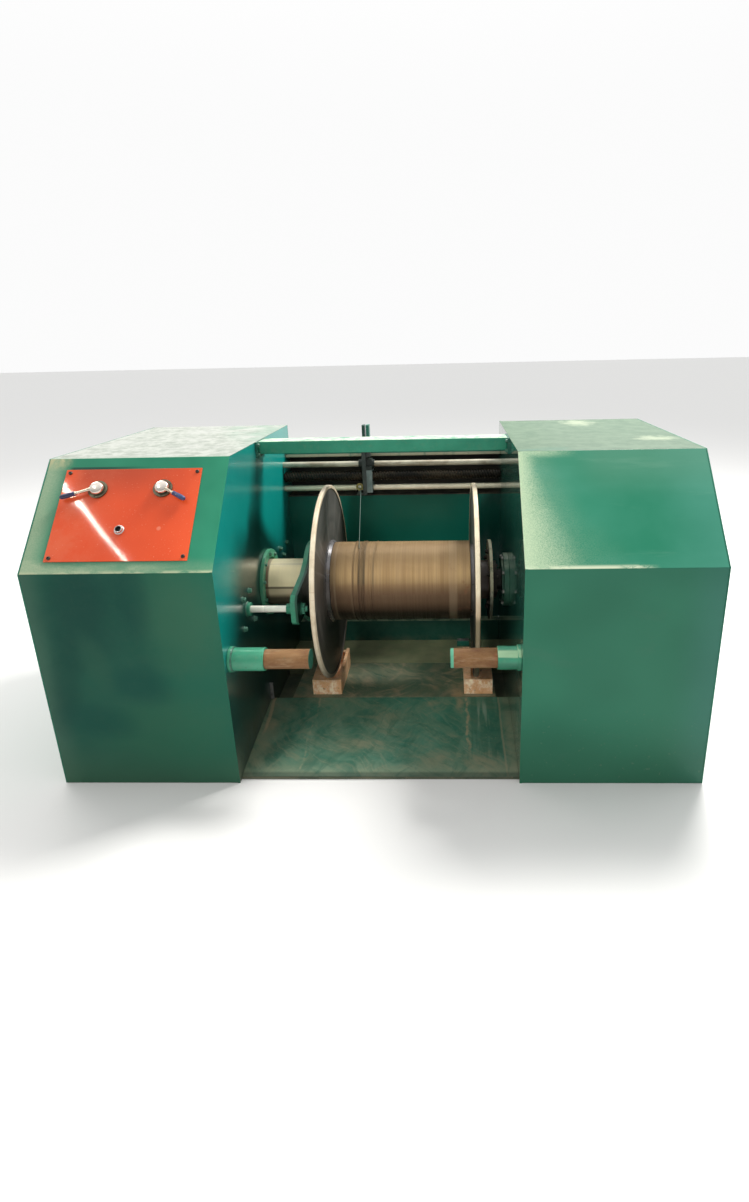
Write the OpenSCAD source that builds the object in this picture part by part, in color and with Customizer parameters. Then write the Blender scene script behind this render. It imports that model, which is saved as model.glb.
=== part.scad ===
// Spool take-up machine of a wire drawing line: two sheet-metal housings joined
// by a floor, a ramp and cross beams, with a spool held between a drive head and
// a sliding tailstock, and a traverse that lays the wire on the spool.
// Millimetres, +Z up, +X to the right seen from the front, front towards -Y.
// The origin lies on the ground, in the middle of the machine's width and depth.

/* [Housings] */
// Clear width between the two housings
bay_w = 1000; // [980:5:1040]
// Width of one housing
housing_w = 640; // [560:5:720]
// Depth of the machine, front to back
depth = 1145; // [1140:1:1180]
// Height of the housings
height = 1130; // [1110:5:1160]
// Height of the fold where the sloped panel starts
shoulder_z = 805; // [780:5:830]
// Depth at which the sloped panel reaches the top
slope_depth = 295; // [260:5:320]
// Thickness of the housing sheet
sheet = 5; // [3:1:6]

/* [Spool] */
// Outer diameter of the spool flanges
flange_d = 800; // [760:5:800]
// Width of the flange rim band
rim_t = 18; // [16:1:22]
// Thickness of the flange disc
disc_t = 10; // [8:1:14]
// Diameter of the wound wire
wound_d = 326; // [310:2:326]
// Diameter of the spool barrel
barrel_d = 300; // [280:2:306]
// Diameter of the spool's centre bore
spool_bore_d = 127; // [126:1:130]
// Depth of the spool axis behind the front face
axis_y = 600; // [595:1:605]
// Height of the spool axis above the ground
axis_z = 547; // [545:1:552]

/* [Tailstock] */
// Diameter of the sliding quill
quill_d = 190; // [170:2:190]
// Diameter of the wall ring that guides the quill
ring_d = 275; // [250:5:300]
// Diameter of the tailstock guide rod
guide_d = 26; // [20:1:28]

/* [Traverse] */
// Diameter of the traverse guide rods
rod_d = 26; // [20:1:30]
// Outer diameter of the lead screw
screw_d = 50; // [40:1:50]
// Depth of the traverse rods behind the front face
rod_y = 1005; // [1000:1:1008]

/* [Floor] */
// Height of the lift table and of the fold at the top of the ramp
table_z = 70; // [66:1:72]
// Thickness of the base plate
base_t = 10; // [8:1:12]

/* [Hidden] */
hw = bay_w / 2;                      // half of the bay
fy = -depth / 2;                     // front face of the machine
ow = hw + housing_w;                 // outer face of a housing
slope_len = sqrt(slope_depth * slope_depth + (height - shoulder_z) * (height - shoulder_z));
slope_a = atan2(height - shoulder_z, slope_depth);
fr = flange_d / 2;
run = 0.05;                          // radial clearance of running fits
lf = -226;                           // inner face of the left flange
rim_r = 4;                           // rounding of the flange rim
rf = 353;                            // inner face of the right flange
rod_hi = 965;                        // height of the upper traverse rod
rod_lo = 855;                        // height of the lower traverse rod
screw_z = 910;                       // height of the lead screw
bar_y = 60;                          // axis of the stop bars
bar_z = 465;
stop_r = 34;                         // radius of a stop bar

// ---- colours as in daylight
paint = [0.06, 0.36, 0.25];
teal = [0.03, 0.42, 0.38];
dusty = [0.35, 0.45, 0.33];
bright = [0.75, 0.75, 0.70];
dark = [0.16, 0.16, 0.15];
rust = [0.42, 0.25, 0.18];
tan = [0.68, 0.50, 0.36];

// ---- helpers
// Coordinates on the left sloped panel: X, distance up the slope, height above it
module on_slope() translate([0, fy, shoulder_z]) rotate([slope_a, 0, 0]) children();
// A bar along X from x0 to x1, its axis at (y, z) measured from the front face
module bar(x0, x1, y, z, r) translate([x0, fy + y, z]) rotate([0, 90, 0]) cylinder(r = r, h = x1 - x0, $fn = 96);
// A profile in (y, z), measured from the front face, run along X
module run_x(x0, x1) translate([x0, fy, 0]) rotate([90, 0, 90]) linear_extrude(x1 - x0) children();
// A box from corner a to corner b, y measured from the front face
module blk(a, b) translate([a[0], fy + a[1], a[2]]) cube([b[0] - a[0], b[1] - a[1], b[2] - a[2]]);
// A body turned about the spool axis: profile in (r, x)
module turned() translate([0, fy + axis_y, axis_z]) rotate([0, 90, 0]) rotate_extrude($fn = 128) children();

// ---- housings
// Outline of a housing seen from the side, inset by t on every covered side
function outline(t) =
  let (sy = sin(slope_a), cy = cos(slope_a),
       s1 = t * (1 - sy) / cy,
       z1 = shoulder_z - t * cy + s1 * sy,
       s2 = (height - shoulder_z - t + t * cy) / sy,
       y2 = t * sy + s2 * cy)
  [[t, 0], [t, z1], [y2, height - t], [depth - t, height - t], [depth - t, 0]];

// Folded cover: front, slope, top and back, between the two side walls
module shell(x0, x1) {
  run_x(x0 + sheet, x1 - sheet) difference() {
    polygon(outline(0));
    polygon(concat([[sheet, -1]], [for (i = [1:3]) outline(sheet)[i]], [[depth - sheet, -1]]));
  }
}
module side_wall(x0) run_x(x0, x0 + sheet) polygon(outline(0));

module left_shell() { color(paint) shell(-ow, -hw); }
module left_outer_wall() { color(paint) side_wall(-ow); }
module left_inner_wall() {
  color(teal) difference() {
    side_wall(-hw - sheet);
    bar(-hw - 20, -hw + 20, axis_y, axis_z, quill_d / 2 + 6);
    bar(-hw - 20, -hw + 20, 295, 552, guide_d / 2 + 4);
    bar(-hw - 20, -hw + 20, rod_y, screw_z, 15 + run);
    bar(-hw - 20, -hw + 20, bar_y, bar_z, stop_r + 4);
  }
}
module right_shell() { color(paint) shell(hw, ow); }
module right_outer_wall() { color(paint) side_wall(ow - sheet); }
module right_inner_wall() {
  color(teal) difference() {
    side_wall(hw);
    bar(hw - 20, hw + 20, axis_y, axis_z, 52);
    bar(hw - 20, hw + 20, rod_y, screw_z, 15 + run);
    bar(hw - 20, hw + 20, bar_y, bar_z, stop_r + 4);
  }
}

// ---- floor
module base_floor() { color(dusty) blk([-hw, 22, 0], [hw, depth, base_t]); }
module ramp() {
  color(dusty) {
    run_x(-hw, hw) polygon([[22, base_t], [22, base_t + 3], [465, table_z], [465, base_t], [457, base_t],
      [457, table_z - 9], [83, base_t]]);
  }
}
module rear_floor() {
  color(dusty) run_x(-hw, hw) polygon([[773, base_t], [773, table_z], [1010, table_z], [1010, table_z - 8],
    [781, table_z - 8], [781, base_t]]);
}
module cross_member() {
  color(paint) run_x(-hw, hw) difference() {
    translate([1010, base_t]) square([45, 180 - base_t]);
    translate([1016, base_t + 6]) square([33, 168 - base_t]);
  }
}
module rear_panel() { color(paint) blk([-hw, 1050, 180], [hw, 1055, 805]); }

// ---- beams and the back of the traverse
module traverse_back() {
  color(dark) run_x(-hw, hw) polygon([[1050, 805], [1050, 811], [1139, 811], [1139, 989], [depth, 989], [depth, 805]]);
}
module rear_beam() {
  color(paint) run_x(-hw, hw) difference() {
    translate([1060, 989]) square([depth - 1060, 73]);
    translate([1065, 994]) square([depth - 1070, 63]);
  }
}
module front_beam() {
  color(paint) run_x(-hw + 8, hw - 8) difference() {
    translate([620, 1080]) square([90, height - 1080]);
    translate([625, 1085]) square([80, height - 1090]);
  }
}
// End plates that bolt the front beam to the inner walls
module beam_brackets() {
  color(paint) for (s = [-1, 1])
    blk([s < 0 ? -hw : hw - 8, 600, 1068], [s < 0 ? -hw + 8 : hw, 730, height]);
}

// ---- control panel on the left slope
module control_plate() { color([0.85, 0.25, 0.15]) on_slope() translate([-1063, 43, 0.02]) cube([476, 348, 2.98]); }
// Places of the two valves on the slope: X, distance up the slope
valves = [[-936, 310], [-711, 311]];
module valve_body(x, v) {
  on_slope() translate([x, v, 3]) difference() {
    union() {
      cylinder(r = 33, h = 5, $fn = 64);
      cylinder(r = 25, h = 8, $fn = 64);
    }
    translate([0, 0, 3]) cylinder(r = 8 + run, h = 20, $fn = 48);
  }
}
module valve_bodies() { color(bright) { valve_body(valves[0][0], valves[0][1]); valve_body(valves[1][0], valves[1][1]); } }
module panel_plug() {
  color(dark) on_slope() translate([-831, 155, 3]) difference() {
    union() {
      cylinder(r = 17, h = 5, $fn = 64);
      cylinder(r = 13, h = 12, $fn = 64);
    }
    translate([0, 0, 9.5]) cylinder(r = 9, h = 20, $fn = 48);
  }
}
// Hand lever: domed hub on a stem, a neck and a grip, pointing along +X when a = 0
module lever(x, v, a, len, grip) {
  on_slope() translate([x, v, 0]) rotate([0, 0, a]) {
    translate([0, 0, 6.5]) cylinder(r = 8, h = 8, $fn = 48);
    translate([0, 0, 11.5]) cylinder(r = 24, h = 6, $fn = 64);
    intersection() {
      translate([0, 0, -6.3]) sphere(r = 33.8, $fn = 96);
      translate([0, 0, 17]) cylinder(r = 24, h = 12, $fn = 64);
    }
    translate([0, 0, 18]) rotate([0, 90, 0]) cylinder(r = 5, h = len - grip + 5, $fn = 32);
    translate([len - grip, 0, 18]) rotate([0, 90, 0]) cylinder(r = 9, h = grip, $fn = 32);
  }
}
module left_lever() { color(bright) lever(valves[0][0], valves[0][1], 197.5, 123, 52); }
module right_lever() { color(bright) lever(valves[1][0], valves[1][1], -29.5, 102, 51); }

// ---- fixed guides on the inner walls
module quill_ring() {
  color(paint) difference() {
    bar(-hw, -hw + 14, axis_y, axis_z, ring_d / 2);
    bar(-hw - 5, -hw + 40, axis_y, axis_z, quill_d / 2 + run);
    bar(-hw + 7, -hw + 40, axis_y, axis_z, quill_d / 2 + 9);
  }
}
module guide_bush() {
  color(paint) difference() {
    bar(-hw, -hw + 14, 295, 552, 26);
    bar(-hw - 5, -hw + 40, 295, 552, guide_d / 2 + run);
  }
}
module bearing_flange() {
  color(paint) difference() {
    union() {
      bar(hw - 21, hw, axis_y, axis_z, 110);
      bar(hw - 29, hw - 21, axis_y, axis_z, 88);
    }
    bar(hw - 40, hw + 5, axis_y, axis_z, 45 + run);
  }
}

// ---- stop bars in front of the flanges: each slides in a sleeve on the wall
module sleeve(x0, x1, xc0, xc1) {
  difference() {
    union() {
      bar(x0, x1, bar_y, bar_z, 40.5);
      bar(xc0, xc1, bar_y, bar_z, 45);
    }
    bar(x0 - 1, x1 + 1, bar_y, bar_z, stop_r + run);
  }
}
module bar_sleeves() {
  color([0.25, 0.55, 0.42]) {
    sleeve(-hw, -376, -hw, -hw + 12);
    sleeve(420, hw, hw - 12, hw);
  }
}
module left_stop_bar() { color(rust) bar(-610, -219, bar_y, bar_z, stop_r); }
module right_stop_bar() { color(rust) bar(261, 610, bar_y, bar_z, stop_r); }

// ---- lift table, its guide posts and the two flange saddles
post_at = [for (x = [-340, 380], y = [530, 710]) [x, y]];
module table_posts() {
  color(bright) for (p = post_at)
    translate([p[0], fy + p[1], base_t]) cylinder(r = 12, h = table_z - 20, $fn = 48);
}
module lift_table() {
  color(dusty) difference() {
    union() {
      blk([-410, 470, table_z - 12], [448, 768, table_z]);
      for (x = [-300, 330]) blk([x, 490, base_t + 15], [x + 12, 750, table_z - 12]);
      for (p = post_at) translate([p[0], fy + p[1], base_t + 20]) cylinder(r = 24, h = table_z - 12 - base_t - 20, $fn = 48);
    }
    for (p = post_at) translate([p[0], fy + p[1], 0]) cylinder(r = 12 + run, h = table_z - 6, $fn = 48);
  }
}
// One saddle from x0 to x1: a base, two rails with a groove from g0 to g1 for a
// flange between them, and a low stop at each end of the groove
module saddle(x0, x1, g0, g1) {
  blk([x0, 490, table_z], [x1, 752, 100]);
  for (r = [[x0, g0], [g1, x1]])
    run_x(r[0], r[1]) polygon([[490, 100], [490, 139], [752, 157], [752, 100]]);
  blk([g0, 490, 100], [g1, 512, 138]);
  blk([g0, 730, 100], [g1, 752, 148]);
}
module saddles() {
  color(tan) {
    saddle(-327, -205, lf - rim_t - 8, lf + 8);
    saddle(316, 436, rf - 8, rf + rim_t + 8);
  }
}

// ---- spool and drive
// Flange disc with a raised rim band of rounded edges, its middle at x
module flange(x) {
  turned() difference() {
    union() {
      translate([spool_bore_d / 2, x - disc_t / 2]) square([fr - 8 - spool_bore_d / 2, disc_t]);
      translate([fr - 16, x - rim_t / 2 + rim_r]) square([16, rim_t - 2 * rim_r]);
      translate([fr - 16 + rim_r, x - rim_t / 2]) square([16 - 2 * rim_r, rim_t]);
      for (u = [fr - 16 + rim_r, fr - rim_r], v = [-1, 1])
        translate([u, x + v * (rim_t / 2 - rim_r)]) circle(r = rim_r, $fn = 32);
      translate([spool_bore_d / 2, x - rim_t / 2]) square([60, rim_t]);
    }
    translate([spool_bore_d / 2 - 60, x - 30]) square([60, 60]);
  }
}
module left_flange() { color(bright) flange(lf - rim_t / 2); }
module right_flange() { color(bright) flange(rf + rim_t / 2); }
module spool_barrel() {
  color(bright) {
    turned() translate([spool_bore_d / 2, lf]) square([9, rf - lf]);
    turned() translate([barrel_d / 2 - 8, lf - rim_t / 2 + disc_t / 2]) square([8, rf - lf + rim_t - disc_t]);
    turned() polygon([[barrel_d / 2, lf - rim_t / 2 + disc_t / 2], [barrel_d / 2 + 22, lf - rim_t / 2 + disc_t / 2], [barrel_d / 2 + 22, lf + 1],
      [barrel_d / 2 + 15, lf + 12], [barrel_d / 2, lf + 12]]);
  }
}
module wound_wire() {
  color([0.50, 0.38, 0.26]) turned() translate([barrel_d / 2, lf + 12]) square([(wound_d - barrel_d) / 2, rf - lf - 21]);
}
module drive_plate() {
  color([0.80, 0.74, 0.60]) {
    turned() polygon([[0, 305], [52, 305], [spool_bore_d / 2 - 1, 345], [spool_bore_d / 2 - 1, 371], [80, 371],
      [80, 419], [166, 419], [166, 431], [0, 431]]);
    dog(rf + rim_t / 2 + disc_t / 2, 419, 145);
  }
}
// Driving dog between the drive plate and the disc of the right flange
module dog(x0, x1, dy) bar(x0, x1, axis_y + dy, axis_z, 16);
module drive_spindle() {
  color(dark) {
    bar(431, 560, axis_y, axis_z, 45);
    bar(431, 451, axis_y, axis_z, 78);
  }
}

// ---- tailstock
module quill() { color(bright) bar(-650, -322, axis_y, axis_z, quill_d / 2); }
module tailstock_arm() {
  color(paint) {
    run_x(-322, -296) union() {
      translate([axis_y, axis_z]) circle(r = 170, $fn = 128);
      polygon([[600, 717], [414, 645], [256, 622], [235, 602], [235, 523], [250, 508], [340, 508], [516, 399], [600, 547]]);
    }
    bar(-296, -240, axis_y, axis_z, 30);
  }
}
module tailstock_rod() {
  color(bright) {
    bar(-650, -322, 295, 552, guide_d / 2);
    bar(-350, -322, 295, 552, 20);
    bar(-296, -272, 295, 552, guide_d / 2 - 2);
    translate([-296, fy + 295, 552]) rotate([0, 90, 0]) cylinder(r = 22, h = 15, $fn = 6);
  }
}
module live_centre() {
  color(bright) turned() polygon([[30 + run, -290], [88, -290], [88, -268], [spool_bore_d / 2 - 1, -250],
    [spool_bore_d / 2 - 1, -240], [50, -192], [0, -192], [0, -236], [30 + run, -236]]);
}

// ---- traverse
module traverse_rods() {
  color(bright) {
    bar(-hw, hw, rod_y, rod_hi, rod_d / 2);
    bar(-hw, hw, rod_y, rod_lo, rod_d / 2);
  }
}
module lead_screw() {
  color(dark) {
    bar(-hw + 4, hw - 4, rod_y, screw_z, screw_d / 2);
    bar(-hw - 22, -hw + 4, rod_y, screw_z, 15);
    bar(hw - 4, hw + 22, rod_y, screw_z, 15);
  }
}
module traverse_block() {
  color([0.45, 0.52, 0.52]) difference() {
    union() {
      blk([-114, 968, 838], [-88, 1040, 957]);
      blk([-114, 984, 957], [-88, 1026, 988]);
      bar(-150, -78, rod_y, rod_hi, 21);
    }
    traverse_bores();
  }
}
module traverse_bores() {
  bar(-200, -60, rod_y, rod_hi, rod_d / 2 + run);
  bar(-200, -60, rod_y, rod_lo, rod_d / 2 + run);
  bar(-200, -60, rod_y, screw_z, screw_d / 2 + 0.3);
}
// Dark plate beside the block, forked at its top, with the wire eye on a small
// arm at its foot
module traverse_fork() {
  color(dark) difference() {
    union() {
      difference() {
        run_x(-132, -114) polygon([[965, 826], [1042, 826], [1042, 1010], [1022, 1040], [982, 1040], [965, 1010]]);
        bar(-133, -113, rod_y, rod_hi, 21.3);
      }
      run_x(-126, -114) translate([982, 1040]) square([40, 102]);
      blk([-114, 982, 1000], [-94, 1022, 1040]);
      blk([-108, 982, 1040], [-94, 1022, 1142]);
      blk([-162, 972, 826], [-132, 980, 836]);
      blk([-155, 972, 836], [-141, 980, 850]);
      eye_disc(17);
    }
    traverse_bores();
    eye_disc(9, 4);
  }
}
module eye_disc(r, past = 0) translate([-148, fy + 980 + past, 864]) rotate([90, 0, 0]) cylinder(r = r, h = 8 + 2 * past, $fn = 64);
// The wire from the eye down to the top of the winding
eye = [-143, 976, 859];
lay = [-104, 548, 705];
module wire_strand() {
  v = lay - eye;
  len = norm(v);
  color([0.55, 0.52, 0.46]) translate([eye[0], fy + eye[1], eye[2]])
    rotate([0, acos(v[2] / len), atan2(v[1], v[0])]) cylinder(r = 1.5, h = len, $fn = 24);
}

base_floor();
ramp();
rear_floor();
cross_member();
rear_panel();
traverse_back();
rear_beam();
front_beam();
beam_brackets();
left_shell();
left_inner_wall();
left_outer_wall();
right_shell();
right_inner_wall();
right_outer_wall();
control_plate();
valve_bodies();
panel_plug();
quill_ring();
guide_bush();
bearing_flange();
bar_sleeves();
table_posts();
traverse_rods();
left_flange();
right_flange();
spool_barrel();
wound_wire();
drive_plate();
drive_spindle();
quill();
tailstock_arm();
tailstock_rod();
live_centre();
lead_screw();
traverse_block();
traverse_fork();
wire_strand();
lift_table();
saddles();
left_stop_bar();
right_stop_bar();
left_lever();
right_lever();
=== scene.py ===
import bpy, bmesh, math
import numpy as np
from mathutils import Vector, Matrix, Quaternion


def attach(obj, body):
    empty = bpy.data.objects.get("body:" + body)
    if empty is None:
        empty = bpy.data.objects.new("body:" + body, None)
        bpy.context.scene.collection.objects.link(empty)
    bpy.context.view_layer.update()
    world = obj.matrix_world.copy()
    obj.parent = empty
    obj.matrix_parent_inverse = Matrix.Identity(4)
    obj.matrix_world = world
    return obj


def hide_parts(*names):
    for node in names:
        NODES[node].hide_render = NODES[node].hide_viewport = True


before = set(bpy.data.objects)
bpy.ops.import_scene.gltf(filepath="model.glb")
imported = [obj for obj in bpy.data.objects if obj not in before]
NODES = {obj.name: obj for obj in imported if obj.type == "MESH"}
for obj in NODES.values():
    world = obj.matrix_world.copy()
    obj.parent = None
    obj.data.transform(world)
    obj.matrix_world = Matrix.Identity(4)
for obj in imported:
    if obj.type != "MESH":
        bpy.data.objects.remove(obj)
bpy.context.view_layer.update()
scene = bpy.context.scene

# ------------------------------------------------------------------ shared sizes, millimetres, y from the front face
FY = 572.5
AXIS_Y, AXIS_Z = 600.0, 547.0
SLOPE = math.atan2(325.0, 295.0)
SA, CA = math.sin(SLOPE), math.cos(SLOPE)
VALVES = ((-936.0, 310.0, 197.5, 123.0, 52.0), (-711.0, 311.0, -29.5, 102.0, 51.0))


def V(x, y, z):
    return Vector((x / 1000.0, (y - FY) / 1000.0, z / 1000.0))


def on_slope(x, v, h=0.0):
    return V(x, v * CA - h * SA, 805.0 + v * SA + h * CA)


SLOPE_N = Vector((0, -SA, CA))
SLOPE_U = Vector((0, CA, SA))

# ------------------------------------------------------------------ camera
# Placed by fitting the housings' edges: metres, in the part's own frame.
YAW, PITCH, ROLL = 0.036400, -0.321359, -0.022711
CAM = Vector((0.26535, -1.91973 - 0.5725, 1.50178))
F_PX, PPX, PPY = 270.983, 572.923, 916.059      # focal length and optical centre in the photograph's pixels
ZOOM, P0X, P0Y = 2.38, 550.3, 936.0             # the photograph's point that sits at the middle of the frame


def make_camera():
    cy, sy = math.cos(YAW), math.sin(YAW)
    cp, sp = math.cos(PITCH), math.sin(PITCH)
    cr, sr = math.cos(ROLL), math.sin(ROLL)
    right = Vector((cy, sy, 0))
    fwd0 = Vector((-sy, cy, 0))
    z = Vector((0, 0, 1))
    fwd = cp * fwd0 + sp * z
    up = -sp * fwd0 + cp * z
    r2 = cr * right + sr * up
    u2 = -sr * right + cr * up
    data = bpy.data.cameras.new("camera")
    cam = bpy.data.objects.new("camera", data)
    scene.collection.objects.link(cam)
    m = Matrix((r2, u2, -fwd)).transposed().to_4x4()
    m.translation = CAM
    cam.matrix_world = m
    data.sensor_fit = "AUTO"
    data.sensor_width = 36.0
    data.lens = F_PX * ZOOM / 1202.0 * 36.0
    data.shift_x = -(PPX - P0X) * ZOOM / 1202.0
    data.shift_y = (PPY - P0Y) * ZOOM / 1202.0
    data.clip_start = 0.05
    data.clip_end = 200
    scene.camera = cam


make_camera()


# ------------------------------------------------------------------ shader helpers
class Mat:
    """A procedural material: sockets are built up and linked to one Principled shader."""

    def __init__(self, name, rough=0.5, metal=0.0, coat=0.0, coat_rough=0.1, spec=0.5):
        self.m = bpy.data.materials.new(name)
        self.m.use_nodes = True
        self.t = self.m.node_tree
        self.b = self.t.nodes["Principled BSDF"]
        self.b.inputs["Roughness"].default_value = rough
        self.b.inputs["Metallic"].default_value = metal
        self.b.inputs["Coat Weight"].default_value = coat
        self.b.inputs["Coat Roughness"].default_value = coat_rough
        self.b.inputs["Specular IOR Level"].default_value = spec
        self.obj = self.new("ShaderNodeTexCoord").outputs["Object"]
        s = self.new("ShaderNodeSeparateXYZ")
        self.link(self.obj, s.inputs[0])
        self.x, self.y, self.z = s.outputs

    def new(self, kind, **kw):
        n = self.t.nodes.new(kind)
        for k, v in kw.items():
            setattr(n, k, v)
        return n

    def link(self, a, b):
        self.t.links.new(a, b)

    def put(self, sock, val):
        if isinstance(val, bpy.types.NodeSocket):
            self.link(val, sock)
        elif isinstance(val, (tuple, list)) and len(val) == 3 and len(sock.default_value) == 4:
            sock.default_value = (*val, 1.0)
        else:
            sock.default_value = val

    def vec(self, x=0.0, y=0.0, z=0.0):
        n = self.new("ShaderNodeCombineXYZ")
        for i, v in enumerate((x, y, z)):
            self.put(n.inputs[i], v)
        return n.outputs[0]

    def mapv(self, scale=(1, 1, 1), rot=(0, 0, 0), loc=(0, 0, 0), vec=None):
        n = self.new("ShaderNodeMapping")
        self.link(vec or self.obj, n.inputs["Vector"])
        n.inputs["Scale"].default_value = scale
        n.inputs["Rotation"].default_value = rot
        n.inputs["Location"].default_value = loc
        return n.outputs[0]

    def noise(self, scale, detail=5.0, rough=0.6, vec=None, dist=0.0):
        n = self.new("ShaderNodeTexNoise")
        self.link(vec or self.obj, n.inputs["Vector"])
        n.inputs["Scale"].default_value = scale
        n.inputs["Detail"].default_value = detail
        n.inputs["Roughness"].default_value = rough
        n.inputs["Distortion"].default_value = dist
        return n.outputs["Fac"]

    def noisecol(self, scale, detail=3.0, vec=None):
        n = self.new("ShaderNodeTexNoise")
        self.link(vec or self.obj, n.inputs["Vector"])
        n.inputs["Scale"].default_value = scale
        n.inputs["Detail"].default_value = detail
        return n.outputs["Color"]

    def voronoi(self, scale, vec=None, feature="F1", rnd=1.0):
        n = self.new("ShaderNodeTexVoronoi", feature=feature)
        self.link(vec or self.obj, n.inputs["Vector"])
        n.inputs["Scale"].default_value = scale
        n.inputs["Randomness"].default_value = rnd
        return n.outputs["Distance"]

    def wave(self, scale, vec=None, dist=0.0, detail=2.0, dscale=1.0, kind="BANDS", direction="X", profile="SIN"):
        n = self.new("ShaderNodeTexWave", wave_type=kind, wave_profile=profile)
        if kind == "BANDS":
            n.bands_direction = direction
        else:
            n.rings_direction = direction
        self.link(vec or self.obj, n.inputs["Vector"])
        n.inputs["Scale"].default_value = scale
        n.inputs["Distortion"].default_value = dist
        n.inputs["Detail"].default_value = detail
        n.inputs["Detail Scale"].default_value = dscale
        return n.outputs["Fac"]

    def math(self, op, a, b=None, c=None, clamp=False):
        n = self.new("ShaderNodeMath", operation=op, use_clamp=clamp)
        self.put(n.inputs[0], a)
        if b is not None:
            self.put(n.inputs[1], b)
        if c is not None:
            self.put(n.inputs[2], c)
        return n.outputs[0]

    def mul(self, *a):
        r = a[0]
        for v in a[1:]:
            r = self.math("MULTIPLY", r, v)
        return r

    def add(self, *a):
        r = a[0]
        for v in a[1:]:
            r = self.math("ADD", r, v)
        return r

    def maxi(self, *a):
        r = a[0]
        for v in a[1:]:
            r = self.math("MAXIMUM", r, v)
        return r

    def clamp(self, a):
        return self.math("ADD", a, 0.0, clamp=True)

    def inv(self, a):
        return self.math("SUBTRACT", 1.0, a, clamp=True)

    def step(self, val, a, b, lo=0.0, hi=1.0):
        """Smooth change from lo at a to hi at b; a may be larger than b."""
        n = self.new("ShaderNodeMapRange", interpolation_type="SMOOTHSTEP")
        self.put(n.inputs["Value"], val)
        if a > b:
            a, b, lo, hi = b, a, hi, lo
        n.inputs["From Min"].default_value = a
        n.inputs["From Max"].default_value = b
        n.inputs["To Min"].default_value = lo
        n.inputs["To Max"].default_value = hi
        return n.outputs["Result"]

    def curve(self, val, pts, span=1.2):
        """A smooth curve through (input, output) points, inputs and outputs from 0 to span."""
        n = self.new("ShaderNodeFloatCurve")
        cv = n.mapping.curves[0]
        pts = sorted(pts)
        while len(cv.points) < len(pts):
            cv.points.new(0.5, 0.5)
        for q, (a, b) in zip(cv.points, pts):
            q.location = (a / span, b / span)
        n.mapping.update()
        self.put(n.inputs["Value"], self.math("DIVIDE", val, span))
        return self.math("MULTIPLY", n.outputs[0], span)

    def blot(self, cx, cy, rx, ry, turn=0.0, ragged=0.9, scale=16.0, soft=(1.25, 0.45)):
        """A ragged patch round a point of the floor plan, metres."""
        ca, sa = math.cos(turn), math.sin(turn)
        dx, dy = self.add(self.x, -cx), self.add(self.y, -(cy - FY / 1000.0))
        u = self.math("DIVIDE", self.add(self.mul(dx, ca), self.mul(dy, sa)), rx)
        w = self.math("DIVIDE", self.add(self.mul(dy, ca), self.mul(dx, -sa)), ry)
        r = self.math("SQRT", self.add(self.mul(u, u), self.mul(w, w)))
        return self.step(self.add(r, self.mul(self.add(self.noise(scale, 5.0, 0.68), -0.5), ragged)), *soft)

    def strokes(self, turn, fine, along, lo, hi, seed, vec=None):
        """Nearly straight brush strokes that run at an angle over the floor plan."""
        a = self.mapv((1, 1, 1), rot=(0, 0, turn), loc=(seed, seed * 0.7, 0), vec=vec)
        b = self.mapv((along, fine, 1.0), vec=a)
        return self.step(self.noise(1.0, 4.0, 0.62, b), lo, hi)

    def bandm(self, val, a, b, soft):
        """1 between a and b, falling to 0 over soft on either side."""
        return self.mul(self.step(val, a - soft, a), self.step(val, b + soft, b))

    def mix(self, fac, a, b, blend="MIX"):
        n = self.new("ShaderNodeMix", data_type="RGBA", blend_type=blend)
        n.clamp_factor = True
        self.put(n.inputs[0], fac)
        self.put(n.inputs[6], a)
        self.put(n.inputs[7], b)
        return n.outputs[2]

    def speckle(self, scale, lo, hi, detail=3.0, vec=None):
        return self.step(self.noise(scale, detail, 0.65, vec), lo, hi)

    def streaks(self, centre, fine, along, lo, hi, seed=0.0, detail=5.0, vec=None):
        """Curved rubbed strokes: noise drawn out round a far centre (x, y, metres)."""
        s = self.new("ShaderNodeSeparateXYZ")
        self.link(vec or self.obj, s.inputs[0])
        dx = self.add(s.outputs[0], -centre[0])
        dy = self.add(s.outputs[1], -centre[1])
        r = self.math("SQRT", self.add(self.mul(dx, dx), self.mul(dy, dy)))
        th = self.math("ARCTAN2", dy, dx)
        return self.step(self.noise(1.0, detail, 0.62, self.vec(self.mul(r, fine), self.mul(th, along), seed)), lo, hi)

    def slope_v(self):
        """Distance up the sloped panel, metres."""
        return self.add(self.mul(self.add(self.y, FY / 1000.0), CA), self.mul(self.add(self.z, -0.805), SA))

    def room(self):
        """Place in the room, from the spool's axis, and the height on a circle about it.

        The spool turns, and the painted shade stays on its lower side: so this is not the body's own place."""
        g = self.new("ShaderNodeNewGeometry")
        q = self.new("ShaderNodeSeparateXYZ")
        self.link(g.outputs["Position"], q.inputs[0])
        y = self.add(q.outputs[1], (FY - AXIS_Y) / 1000.0)
        z = self.add(q.outputs[2], -AXIS_Z / 1000.0)
        r = self.math("SQRT", self.add(self.mul(y, y), self.mul(z, z)))
        return y, z, self.math("DIVIDE", z, self.maxi(r, 0.001))

    def radial(self):
        """Distance from the spool axis and angle round it."""
        yy = self.add(self.y, (FY - AXIS_Y) / 1000.0)
        zz = self.add(self.z, -AXIS_Z / 1000.0)
        r = self.math("SQRT", self.add(self.mul(yy, yy), self.mul(zz, zz)))
        return r, self.math("ARCTAN2", zz, yy)

    def color(self, s):
        self.put(self.b.inputs["Base Color"], s)

    def rough(self, s):
        self.put(self.b.inputs["Roughness"], s)

    def metal(self, s):
        self.put(self.b.inputs["Metallic"], s)

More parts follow.
